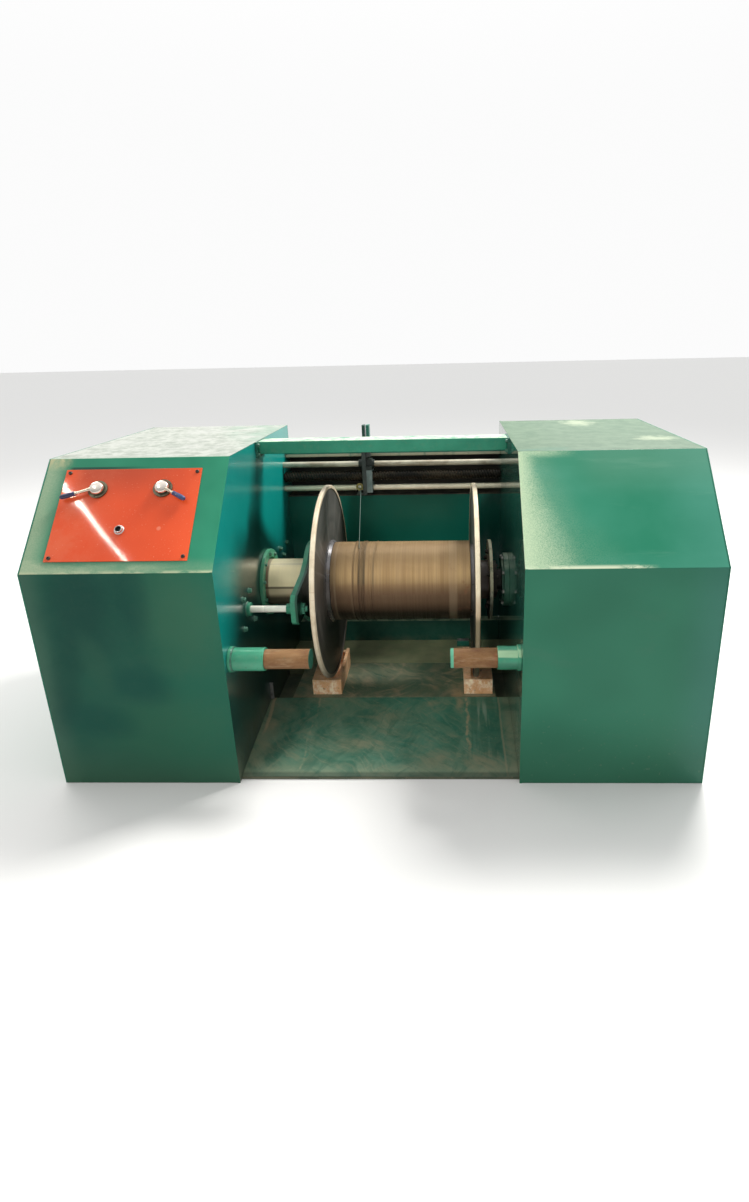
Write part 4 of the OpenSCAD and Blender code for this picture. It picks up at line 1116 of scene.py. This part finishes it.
navy = plain("grip_navy", (0.012, 0.018, 0.085), 0.34, 0.0, coat=0.4, vary=0.3, scale=50, dirt=(0.10, 0.11, 0.16), dirt_amt=0.3)
navy2 = plain("grip_blue", (0.030, 0.055, 0.170), 0.34, 0.0, coat=0.4, vary=0.3, scale=50, dirt=(0.12, 0.13, 0.18), dirt_amt=0.3)
bolt_green = plain("bolt_painted", (0.060, 0.200, 0.135), 0.38, 0.0, coat=0.4, vary=0.45, scale=90)
bolt_steel = plain("bolt_steel", (0.40, 0.40, 0.37), 0.32, 0.9, vary=0.35, scale=90)
screw_dark = plain("screw_dark", (0.085, 0.075, 0.060), 0.36, 0.7, vary=0.4, scale=120)
hole_dark = plain("hole_dark", (0.010, 0.010, 0.010), 0.6, 0.0, vary=0.4, scale=90)
ring_light = plain("ring_light", (0.80, 0.74, 0.70), 0.20, 0.9, vary=0.2, scale=90)
brass = plain("eye_brass", (0.42, 0.36, 0.14), 0.34, 0.8, vary=0.4, scale=90)
weld_mat = plain("weld_painted", (0.030, 0.150, 0.095), 0.42, 0.0, coat=0.4, vary=0.4, scale=90)
flat_bar = plain("flat_bar_steel", (0.20, 0.20, 0.19), 0.45, 0.3, vary=0.35, scale=60)


# ------------------------------------------------------------------ mesh helpers
class Build:
    """Collects vertices, faces and a material index per face, then makes one object."""

    def __init__(self):
        self.v, self.f, self.mi = [], [], []

    def add(self, verts, faces, mi=0, m=None):
        o = len(self.v)
        if m is not None:
            verts = [m @ Vector(p) for p in verts]
        self.v.extend([tuple(p) for p in verts])
        self.f.extend([tuple(i + o for i in f) for f in faces])
        self.mi.extend([mi] * len(faces))

    def lathe(self, prof, m, seg=48, mi=0, closed=False):
        """Turns a profile of (radius, height) about the local Z axis. A radius of 0 closes an end."""
        verts, faces, rows = [], [], []
        for r, h in prof:
            if r <= 1e-9:
                rows.append([len(verts)])
                verts.append((0, 0, h))
            else:
                rows.append(list(range(len(verts), len(verts) + seg)))
                for k in range(seg):
                    a = 2 * math.pi * k / seg
                    verts.append((r * math.cos(a), r * math.sin(a), h))
        pairs = list(zip(rows, rows[1:])) + ([(rows[-1], rows[0])] if closed else [])
        for a, b in pairs:
            for k in range(seg):
                k2 = (k + 1) % seg
                if len(a) == 1 and len(b) == 1:
                    continue
                if len(a) == 1:
                    faces.append((a[0], b[k], b[k2]))
                elif len(b) == 1:
                    faces.append((a[k], a[k2], b[0]))
                else:
                    faces.append((a[k], a[k2], b[k2], b[k]))
        self.add(verts, faces, mi, m)

    def prism(self, pts, h0, h1, m, mi=0, cham=0.0):
        """An upright prism over a polygon, with a small chamfer at its top."""
        n = len(pts)
        verts = [(x, y, h0) for x, y in pts]
        faces = [tuple(range(n - 1, -1, -1))]
        levels = [verts]
        if cham:
            levels.append([(x, y, h1 - cham) for x, y in pts])
            cx = sum(p[0] for p in pts) / n
            cy = sum(p[1] for p in pts) / n
            rr = max(math.hypot(p[0] - cx, p[1] - cy) for p in pts)
            k = 1 - cham / rr
            levels.append([(cx + (x - cx) * k, cy + (y - cy) * k, h1) for x, y in pts])
        else:
            levels.append([(x, y, h1) for x, y in pts])
        allv = [p for lv in levels for p in lv]
        for li in range(len(levels) - 1):
            a, b = li * n, (li + 1) * n
            for i in range(n):
                j = (i + 1) % n
                faces.append((a + i, a + j, b + j, b + i))
        faces.append(tuple(range((len(levels) - 1) * n, len(levels) * n)))
        self.add(allv, faces, mi, m)

    def box(self, lo, hi, m=None, mi=0, r=0.0015):
        """A box with chamfered edges."""
        bm = bmesh.new()
        bmesh.ops.create_cube(bm, size=1.0)
        for v in bm.verts:
            v.co = Vector([lo[i] + (v.co[i] + 0.5) * (hi[i] - lo[i]) for i in range(3)])
        if r:
            bmesh.ops.bevel(bm, geom=bm.edges[:], offset=r, segments=2, affect="EDGES", profile=0.6)
        bm.verts.index_update()
        self.add([v.co.copy() for v in bm.verts], [tuple(v.index for v in f.verts) for f in bm.faces], mi, m)
        bm.free()

    def make(self, name, mats, body, smooth=40.0):
        me = bpy.data.meshes.new(name)
        me.from_pydata(self.v, [], self.f)
        for mt in mats:
            me.materials.append(mt)
        me.polygons.foreach_set("material_index", self.mi)
        me.update()
        ob = bpy.data.objects.new(name, me)
        scene.collection.objects.link(ob)
        if smooth:
            me.shade_smooth()
            try:
                me.set_sharp_from_angle(angle=math.radians(smooth))
            except Exception:
                pass
        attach(ob, body)
        return ob


def frame_at(origin, normal, spin=0.0):
    """Matrix whose Z runs along normal, turned by spin about it."""
    q = Vector((0, 0, 1)).rotation_difference(Vector(normal).normalized())
    return Matrix.Translation(origin) @ q.to_matrix().to_4x4() @ Matrix.Rotation(spin, 4, "Z")


def hex_bolt(B, origin, normal, af, mi=0, washer=True, spin=0.0, h=None):
    """Hexagon head with a chamfered top, a washer under it and a thread end in its middle."""
    m = frame_at(origin, normal, spin)
    r = af / math.sqrt(3) / 1000.0
    h = (h or af * 0.62) / 1000.0
    t = 0.0
    if washer:
        t = 0.0022
        B.lathe([(r * 0.3, 0.0), (r * 1.30, 0.0), (r * 1.32, t * 0.4), (r * 1.26, t), (r * 0.3, t)], m, 24, mi)
    pts = [(r * math.cos(math.pi / 3 * k), r * math.sin(math.pi / 3 * k)) for k in range(6)]
    B.prism(pts, t * 0.5, t + h, m, mi, cham=h * 0.16)
    B.lathe([(r * 0.62, t + h - 0.0002), (r * 0.58, t + h + 0.0005), (0, t + h + 0.0006)], m, 16, mi)


def socket_screw(B, origin, normal, d, mi=0, mi_hole=1, spin=0.0):
    """Low round head with a hexagon socket."""
    m = frame_at(origin, normal, spin)
    r = d / 2000.0
    h = r * 0.75
    B.lathe([(r * 1.02, 0.0), (r, h * 0.45), (r * 0.90, h * 0.80), (r * 0.70, h * 0.96), (r * 0.52, h), (r * 0.46, h), (r * 0.44, h * 0.45), (0, h * 0.40)], m, 24, mi)
    pts = [(r * 0.40 * math.cos(math.pi / 3 * k), r * 0.40 * math.sin(math.pi / 3 * k)) for k in range(6)]
    B.prism(pts, h * 0.40, h * 0.62, m, mi_hole)


X = Vector((1, 0, 0))
Z = Vector((0, 0, 1))
Y = Vector((0, 1, 0))


def bead(B, origin, normal, radius, size, mi=0, seg=96, seed=1.0, fill=1.0):
    """A weld bead that runs round a tube where it meets a plate: rippled quarter-round."""
    m = frame_at(origin, normal)
    rings = 6
    verts, faces = [], []
    for k in range(seg):
        a = 2 * math.pi * k / seg
        rip = 1.0 + 0.10 * math.sin(a * seg / 3.0 + seed) + 0.07 * math.sin(a * 7.0 + seed * 2.1)
        s = size * rip / 1000.0
        for j in range(rings + 1):
            t = math.pi / 2 * j / rings
            rr = radius / 1000.0 - 0.0004 + s * math.cos(t)
            verts.append((rr * math.cos(a), rr * math.sin(a), -0.0002 + s * math.sin(t)))
    for k in range(seg):
        k2 = (k + 1) % seg
        for j in range(rings):
            a, b = k * (rings + 1) + j, k2 * (rings + 1) + j
            faces.append((a, b, b + 1, a + 1))
        faces.append((k * (rings + 1) + rings, k2 * (rings + 1) + rings, k2 * (rings + 1), k * (rings + 1)))
    B.add(verts, faces, mi, m)


# ------------------------------------------------------------------ wire on the spool
def winding():
    """One layer of turns as a true helix: rows of the grid follow the wire."""
    x0, x1, pitch, sub, seg = -214.0, 343.6, 3.05, 4, 96
    rc = 161.55
    turns = int((x1 - x0) / pitch)
    n = turns * sub + 1
    prof = [0.0, 1.05, 1.5, 1.05]
    verts = []
    for j in range(seg):
        th = 2 * math.pi * j / seg
        for i in range(n):
            x = x0 + (i / sub + j / seg) * pitch
            x = min(x, x1)
            wob = 0.22 * math.sin(x * 0.21 + math.sin(th) * 0.7) * math.sin(x * 0.037 + 1.3) + 0.12 * math.sin(th * 3 + x * 0.4)
            r = rc + prof[i % sub] + wob * 0.5
            verts.append((x, r * math.cos(th), r * math.sin(th)))
    faces = []
    for j in range(seg):
        for i in range(n - 1):
            if j < seg - 1:
                a, b = j * n + i, (j + 1) * n + i
                faces.append((a, a + 1, b + 1, b))
            else:
                a = j * n + i
                k = i + sub
                if k + 1 < n:
                    faces.append((a, a + 1, k + 1, k))
    B = Build()
    B.add([V(x, AXIS_Y + y, AXIS_Z + z) for x, y, z in verts], faces, 0)
    # plain sleeve just under the turns, closed at both ends
    m = Matrix.Translation(V(0, AXIS_Y, AXIS_Z)) @ Matrix.Rotation(math.pi / 2, 4, "Y")
    B.lathe([(0.1505, -0.2138), (0.1612, -0.2138), (0.1622, -0.2100), (0.1620, 0.3405), (0.1612, 0.3438), (0.1505, 0.3438)], m, 96, 0, closed=True)
    ob = B.make("wire_winding", [wire_mat], "spool", smooth=0)
    ob.data.shade_smooth()
    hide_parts("wound_wire")


def tube_path(B, pts, r, mi=0, seg=10):
    """A round wire along a list of points, ends closed."""
    n = len(pts)
    verts, faces = [], []
    up = Vector((0.13, 0.27, 0.95)).normalized()
    prev = None
    for i, p in enumerate(pts):
        t = (pts[min(i + 1, n - 1)] - pts[max(i - 1, 0)]).normalized()
        a = (prev if prev is not None else up.cross(t)).copy()
        a = (a - t * a.dot(t)).normalized()
        b = t.cross(a)
        prev = a
        for k in range(seg):
            w = 2 * math.pi * k / seg
            verts.append(p + a * (r * math.cos(w)) + b * (r * math.sin(w)))
    for i in range(n - 1):
        for k in range(seg):
            k2 = (k + 1) % seg
            faces.append((i * seg + k, i * seg + k2, (i + 1) * seg + k2, (i + 1) * seg + k))
    faces.append(tuple(range(seg - 1, -1, -1)))
    faces.append(tuple(range((n - 1) * seg, n * seg)))
    B.add(verts, faces, mi)


def upper_turns():
    """The first turns of the next layer, ending at the strand."""
    B = Build()
    # from the strand's end the wire goes once more round, then three turns in a bunch;
    # one stray turn crosses the layer further right
    for x0, x1, turns, ph in ((-104.0, -92.0, 1, 1.88), (-90.0, -80.0, 3, 1.9), (-124.0, -121.0, 1, 1.2), (-52.0, -33.0, 1, 2.4)):
        n = 110 * turns
        pts = []
        for i in range(n + 1):
            f = i / n
            th = 2 * math.pi * turns * f + ph
            x = x0 + (x1 - x0) * f + 0.5 * math.sin(th * 1.5)
            r = 164.35
            pts.append(V(x, AXIS_Y + r * math.cos(th), AXIS_Z + r * math.sin(th)))
        tube_path(B, pts, 0.0015, 0, 8)
    ob = B.make("wire_upper_turns", [wire_mat], "spool", smooth=60)


winding()
upper_turns()


# ------------------------------------------------------------------ lead screw with its thread
def lead_screw():
    """Four-start round thread, 50 mm lead, between plain journals."""
    seg, lead, starts = 64, 50.0, 4
    step = 1.5625
    x0, x1 = -492.0, 492.0
    n = int(round((x1 - x0) / step)) + 1
    verts = []
    for i in range(n):
        x = x0 + i * step
        for j in range(seg):
            th = 2 * math.pi * j / seg
            ph = (x / lead - th / (2 * math.pi)) * starts
            w = 0.5 + 0.5 * math.cos(2 * math.pi * ph)
            w = max(0.0, min(1.0, (w - 0.18) / 0.64))
            r = 20.8 + 4.0 * w
            verts.append(V(x, 1005.0 + r * math.cos(th), 910.0 + r * math.sin(th)))
    faces = []
    for i in range(n - 1):
        for j in range(seg):
            j2 = (j + 1) % seg
            faces.append((i * seg + j, (i + 1) * seg + j, (i + 1) * seg + j2, i * seg + j2))
    faces.append(tuple(range(seg)))
    faces.append(tuple(range(n * seg - 1, (n - 1) * seg - 1, -1)))
    B = Build()
    B.add(verts, faces, 0)
    m = Matrix.Translation(V(0, 1005, 910)) @ Matrix.Rotation(math.pi / 2, 4, "Y")
    for s in (-1, 1):
        prof = [(0.0, 0.4915), (0.0195, 0.4915), (0.0205, 0.4925), (0.0205, 0.4955), (0.0150, 0.4965), (0.0150, 0.5205), (0.0138, 0.5220), (0.0, 0.5220)]
        B.lathe([(r, s * h) for r, h in prof], m, 48, 0)
    M = Mat("screw_oiled", rough=0.36, metal=0.65)
    st = M.step(M.noise(24.0, 5.0, 0.7, M.mapv((0.25, 1, 1))), 0.42, 0.66)
    c = M.mix(st, (0.016, 0.015, 0.013), (0.060, 0.048, 0.032))
    c = M.mix(M.mul(M.speckle(60.0, 0.60, 0.7), 0.4), c, (0.13, 0.08, 0.04))
    M.color(c)
    M.rough(M.add(0.32, M.mul(st, 0.2)))
    ob = B.make("screw_thread", [M.m], "screw", smooth=0)
    ob.data.shade_smooth()
    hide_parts("lead_screw")


lead_screw()


# ------------------------------------------------------------------ hand levers, valve rings, plug and screws of the control plate
def levers():
    for (x, v, ang, ln, grip), body, node, blue in ((VALVES[0], "left_handle", "left_lever", navy), (VALVES[1], "right_handle", "right_lever", navy2)):
        B = Build()
        base = Matrix.Translation(on_slope(x, v)) @ Matrix((X, SLOPE_U, SLOPE_N)).transposed().to_4x4() @ Matrix.Rotation(math.radians(ang), 4, "Z")
        hub = [(0.0, 0.0066), (0.0079, 0.0066), (0.0079, 0.0112), (0.0225, 0.0114), (0.0238, 0.0122), (0.0240, 0.0150), (0.0236, 0.0172), (0.0226, 0.0188)]
        for k in range(1, 9):
            t = k / 8.0
            hub.append((0.0226 * math.cos(t * math.pi / 2) ** 0.85 if k < 8 else 0.0, 0.0188 + 0.0084 * math.sin(t * math.pi / 2)))
        B.lathe(hub, base, 56, 0)
        along = base @ Matrix.Translation((0, 0, 0.018)) @ Matrix.Rotation(math.pi / 2, 4, "Y")
        L, G = ln / 1000.0, grip / 1000.0
        neck = [(0.0, 0.010), (0.0068, 0.010), (0.0066, 0.022), (0.0056, 0.032), (0.0047, L - G - 0.008), (0.0050, L - G - 0.004), (0.0066, L - G - 0.003), (0.0068, L - G + 0.001), (0.0, L - G + 0.001)]
        B.lathe(neck, along, 32, 1)
        g0 = L - G
        gp = [(0.0, g0 - 0.0005), (0.0060, g0 - 0.0005), (0.0078, g0 + 0.0010), (0.0082, g0 + 0.004), (0.0074, g0 + 0.008), (0.0080, g0 + 0.016), (0.0087, g0 + 0.027), (0.0088, g0 + 0.036), (0.0083, L - 0.010), (0.0074, L - 0.005), (0.0056, L - 0.0018), (0.0030, L - 0.0004), (0.0, L)]
        B.lathe(gp, along, 32, 2)
        ob = B.make(node + "_shaped", [chrome, neck_mat, blue], body, smooth=50)
        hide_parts(node)


levers()


def plate_details():
    B = Build()
    for x, v in ((-1047, 377), (-602, 376), (-1047, 56), (-602, 58)):
        socket_screw(B, on_slope(x, v, 2.95), SLOPE_N, 13.0, 0, 1, 0.3)
    B.make("plate_screws", [screw_dark, hole_dark], "frame", smooth=40)
    # plug: a pale turned collar round a dark bore with a slotted disc in it
    C = Build()
    m = Matrix.Translation(on_slope(-831, 155)) @ Matrix((X, SLOPE_U, SLOPE_N)).transposed().to_4x4()
    C.lathe([(0.0170, 0.0030), (0.0170, 0.0068), (0.0158, 0.0082), (0.0140, 0.0086), (0.0134, 0.0112), (0.0128, 0.0140), (0.0116, 0.0149), (0.0102, 0.0144), (0.0094, 0.0120)], m, 48, 0)
    C.lathe([(0.0094, 0.0120), (0.0090, 0.0080), (0.0086, 0.0062), (0.0, 0.0060)], m, 48, 1)
    C.box((-0.0066, -0.0012, 0.0060), (0.0066, 0.0012, 0.0080), m, 1, 0.0003)
    ob = C.make("plug_shaped", [ring_light, hole_dark], "frame", smooth=40)
    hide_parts("panel_plug")
    # stop pins of the valves
    D = Build()
    for x, v, ang, ln, grip in VALVES:
        for da in (62, -62):
            a = math.radians(ang + da)
            p = on_slope(x + 28.6 * math.cos(a), v + 28.6 * math.sin(a), 7.9)
            D.lathe([(0.0019, 0.0), (0.0019, 0.0016), (0.0012, 0.0022), (0.0, 0.0023)], frame_at(p, SLOPE_N), 16, 0)
    D.make("valve_stop_pins", [screw_dark], "frame", smooth=40)


plate_details()


# ------------------------------------------------------------------ bolts, washers and weld beads
def fittings():
    B = Build()
    # bush plate, blank plate
    for y, z, s in ((251, 608, 0.2), (328, 613, 0.5), (358, 485, 0.1), (234, 497, 0.8), (811, 623, 0.2), (930, 616, 0.6), (861, 578, 0.4)):
        hex_bolt(B, V(-500, y, z), X, 16, 0, True, s)
    # quill ring
    for k in range(10):
        a = math.radians(18 + 36 * k)
        hex_bolt(B, V(-486.05, AXIS_Y + 121.0 * math.cos(a), AXIS_Z + 121.0 * math.sin(a)), X, 13, 0, False, a)
    # bearing flange
    for k in range(8):
        a = math.radians(10 + 45 * k)
        hex_bolt(B, V(479, AXIS_Y + 99 * math.cos(a), AXIS_Z + 99 * math.sin(a)), -X, 13, 1, False, a)
    # beam brackets
    for s in (-1, 1):
        for y, z in ((609, 1080), (609, 1118), (721, 1080), (721, 1118)):
            hex_bolt(B, V(s * 492, y, z), -s * X, 13, 0, False, y * 0.1)
    B.make("wall_bolts", [bolt_green, bolt_steel], "frame", smooth=35)
    C = Build()
    for k in range(6):
        a = math.radians(30 + 60 * k)
        hex_bolt(C, V(419, AXIS_Y + 122 * math.cos(a), AXIS_Z + 122 * math.sin(a)), -X, 15, 0, True, a)
        hex_bolt(C, V(451, AXIS_Y + 60 * math.cos(a), AXIS_Z + 60 * math.sin(a)), X, 11, 0, False, a)
    C.make("drive_bolts", [screw_dark], "spool", smooth=35)
    # weld beads on the frame
    W = Build()
    bead(W, V(-488, 60, 465), X, 40.5, 5.0, seed=0.4)
    bead(W, V(-500, 295, 552), X, 26.0, 4.0, seed=1.2)
    W.make("weld_beads", [weld_mat], "frame", smooth=60)
    T = Build()
    bead(T, V(-322, AXIS_Y, AXIS_Z), -X, 95.0, 5.0, seed=0.9, seg=128)
    bead(T, V(-296, AXIS_Y, AXIS_Z), X, 30.0, 4.0, seed=1.7)
    T.make("arm_welds", [weld_mat], "tailstock", smooth=60)
    # the covers' paint laps over the front edges of the two inner walls
    a = math.atan2(325, 295)
    turn = ((0.0, 0.0), (0.0, 0.805), (0.295, 1.130), (1.145, 1.130), (1.145, 0.0))
    norm = ((-1.0, 0.0), (-math.sin(a), math.cos(a)), (0.0, 1.0), (1.0, 0.0))

    def lap(d):
        out = []
        for i, (y, z) in enumerate(turn):
            n0, n1 = norm[max(i - 1, 0)], norm[min(i, 3)]
            k = d / (1 + n0[0] * n1[0] + n0[1] * n1[1])
            out.append((y - 0.5725 + k * (n0[0] + n1[0]), z + k * (n0[1] + n1[1])))
        return out

    L = Build()
    lm = Matrix(((0, 0, 1, 0), (1, 0, 0, 0), (0, 1, 0, 0), (0, 0, 0, 1)))
    for x0, x1, mi in ((-0.5080, -0.4998, 0), (0.4998, 0.5080, 1)):
        L.prism(lap(0.0004) + lap(-0.0012)[::-1], x0, x1, lm, mi)
    L.make("wall_laps", [left_cover, right_cover], "frame", smooth=20)
    # nut and collar of the guide rod carry the arm's paint
    G = Build()
    mm = Matrix.Translation(V(0, 295, 552)) @ Matrix.Rotation(math.pi / 2, 4, "Y")
    G.lathe([(0.0129, -0.3500), (0.0196, -0.3500), (0.0204, -0.3490), (0.0204, -0.3232), (0.0196, -0.3222), (0.0129, -0.3222)], mm, 40, 0)
    G.lathe([(0.0112, -0.2958), (0.0240, -0.2958), (0.0240, -0.2935), (0.0225, -0.2930), (0.0112, -0.2930)], mm, 40, 0)
    pts = [(0.0224 * math.cos(math.pi / 3 * k + 0.2), 0.0224 * math.sin(math.pi / 3 * k + 0.2)) for k in range(6)]
    G.prism(pts, -0.2932, -0.2808, mm, 0, cham=0.0016)
    G.lathe([(0.0112, -0.2812), (0.0112, -0.2735), (0.0100, -0.2718), (0.0, -0.2718)], mm, 32, 0)
    G.make("rod_nut_painted", [green_fit], "tailstock", smooth=40)


fittings()


# ------------------------------------------------------------------ small fixed details in the bay
def bay_details():
    B = Build()
    # small angle clip that stands on the rear floor
    B.box(V(292, 937, 70), V(350, 941, 99), None, 1, 0.0008)
    B.box(V(292, 937, 70), V(350, 962, 74), None, 1, 0.0008)
    B.box(V(292, 937, 96), V(350, 962, 100), None, 0, 0.0008)
    # flat bar on the left wall beside the table
    B.box(V(-499.9, 452, 72), V(-486, 458, 148), None, 0, 0.0008)
    B.make("bay_clips", [flat_bar, green_dark], "frame", smooth=40)
    # turned insert of the wire eye
    E = Build()
    m = frame_at(V(-148, 976, 864), -Y)
    E.lathe([(0.0091, -0.0052), (0.0120, -0.0060), (0.0132, -0.0048), (0.0132, -0.0040)], m, 40, 0)
    E.lathe([(0.0132, 0.0040), (0.0136, 0.0054), (0.0122, 0.0064), (0.0096, 0.0056), (0.0082, 0.0030), (0.0079, 0.0), (0.0082, -0.0030), (0.0091, -0.0052)], m, 40, 0)
    E.lathe([(0.0168, 0.0040), (0.0172, 0.0030), (0.0172, -0.0030), (0.0168, -0.0040), (0.0130, -0.0041), (0.0130, 0.0041)], m, 40, 0, closed=True)
    E.make("eye_insert", [brass], "carriage", smooth=50)


bay_details()


# ------------------------------------------------------------------ edge rounding on the sheet metal
def round_edges(names, width, angle=32.0, seg=2):
    for n in names:
        ob = NODES[n]
        w = ob.modifiers.new("weld", "WELD")
        w.merge_threshold = 0.00002
        b = ob.modifiers.new("bevel", "BEVEL")
        b.width = width
        b.segments = seg
        b.limit_method = "ANGLE"
        b.angle_limit = math.radians(angle)
        b.use_clamp_overlap = True
        b.harden_normals = False
        wn = ob.modifiers.new("normals", "WEIGHTED_NORMAL")
        wn.keep_sharp = False
        wn.weight = 80


round_edges(["left_shell", "right_shell"], 0.0022)
round_edges(["left_outer_wall", "right_outer_wall"], 0.0022)
round_edges(["front_beam", "rear_beam", "cross_member"], 0.004)
round_edges(["lift_table", "rear_floor", "ramp"], 0.0015)
round_edges(["saddles"], 0.004)
round_edges(["control_plate"], 0.0008)
round_edges(["tailstock_arm", "drive_plate", "quill_ring", "bearing_flange", "bar_sleeves"], 0.0018)
round_edges(["traverse_block", "traverse_fork"], 0.0012)
round_edges(["left_stop_bar", "right_stop_bar", "guide_bush", "beam_brackets"], 0.0016)


# ------------------------------------------------------------------ stage and light
def stage_material():
    M = Mat("stage_pale", rough=0.85, spec=0.2)
    M.b.inputs["Base Color"].default_value = (0.80, 0.80, 0.79, 1)
    return M.m


def floor():
    me = bpy.data.meshes.new("floor")
    me.from_pydata([(-40, -40, 0), (40, -40, 0), (40, 40, 0), (-40, 40, 0)], [], [(0, 1, 2, 3)])
    ob = bpy.data.objects.new("floor", me)
    scene.collection.objects.link(ob)
    me.materials.append(stage_material())


floor()
world = bpy.data.worlds.new("world")
scene.world = world
world.use_nodes = True
wt = world.node_tree
bg = wt.nodes["Background"]
wc = wt.nodes.new("ShaderNodeTexCoord")
ws = wt.nodes.new("ShaderNodeSeparateXYZ")
wt.links.new(wc.outputs["Generated"], ws.inputs[0])


def wstep(sock, a, b, lo, hi):
    n = wt.nodes.new("ShaderNodeMapRange")
    n.interpolation_type = "SMOOTHSTEP"
    wt.links.new(sock, n.inputs["Value"])
    for k, v in (("From Min", a), ("From Max", b), ("To Min", lo), ("To Max", hi)):
        n.inputs[k].default_value = v
    return n.outputs["Result"]


# a room that is brighter behind the machine and overhead than in front of it
back = wstep(ws.outputs[1], -0.75, 0.35, 0.46, 0.97)
over = wstep(ws.outputs[2], 0.25, 0.95, 0.0, 0.25)
wa = wt.nodes.new("ShaderNodeMath")
wa.operation = "ADD"
wt.links.new(back, wa.inputs[0])
wt.links.new(over, wa.inputs[1])
bg.inputs["Color"].default_value = (1.0, 1.0, 1.0, 1)
wt.links.new(wa.outputs[0], bg.inputs["Strength"])


def area(name, loc, target, size, energy, color=(1, 1, 1), spread=None, roll=None):
    d = bpy.data.lights.new(name, "AREA")
    d.shape = "RECTANGLE"
    d.size, d.size_y = size
    d.energy = energy
    d.color = color
    if spread:
        d.spread = spread
    o = bpy.data.objects.new(name, d)
    scene.collection.objects.link(o)
    o.visible_camera = False
    if roll is None:
        o.location = loc
        o.rotation_euler = (Vector(target) - Vector(loc)).to_track_quat("-Z", "Y").to_euler()
    else:
        # roll is the direction in which the light's long side (size_y) runs
        fwd = (Vector(target) - Vector(loc)).normalized()
        up = (roll - fwd * roll.dot(fwd)).normalized()
        right = fwd.cross(up).normalized()
        m = Matrix((right, up, -fwd)).transposed().to_4x4()
        m.translation = Vector(loc)
        o.matrix_world = m
    return o


# a broad soft key from above, behind and to the right, a fill from above left behind,
# a narrow one from the front into the right half of the bay, and a thin bent tube over the left panel
area("key", (1.9, 1.7, 4.7), (-0.25, 0.1, 0.6), (1.3, 1.3), 300, (1.0, 0.98, 0.95))
area("fill", (-3.6, 2.4, 4.2), (-0.6, 0.0, 0.8), (2.4, 2.4), 70, (1.0, 0.98, 0.95))
bay = area("bay", (-0.62, -2.40, 1.70), (0.16, 0.02, 0.52), (0.5, 0.5), 1.4, (1.0, 0.97, 0.92), spread=math.radians(34))
bay.visible_glossy = False
TUBE = [Vector(p) for p in ((-2.985, -1.235, 4.0), (-2.95, -1.29, 4.0), (-2.82, -1.48, 4.0), (-2.71, -1.72, 4.0), (-2.57, -1.96, 4.0), (-2.50, -2.10, 4.0))]
for i, (ta, tb) in enumerate(zip(TUBE, TUBE[1:])):
    wide = (0.060, 0.030, 0.016, 0.014, 0.010)[i]
    area("tube_%d" % i, (ta + tb) / 2, (-0.93, -0.43, 0.93), (wide, (tb - ta).length), 9.0 * (tb - ta).length * wide / 0.016, (1.0, 0.93, 0.82), roll=(tb - ta).normalized())

scene.view_settings.view_transform = "Standard"
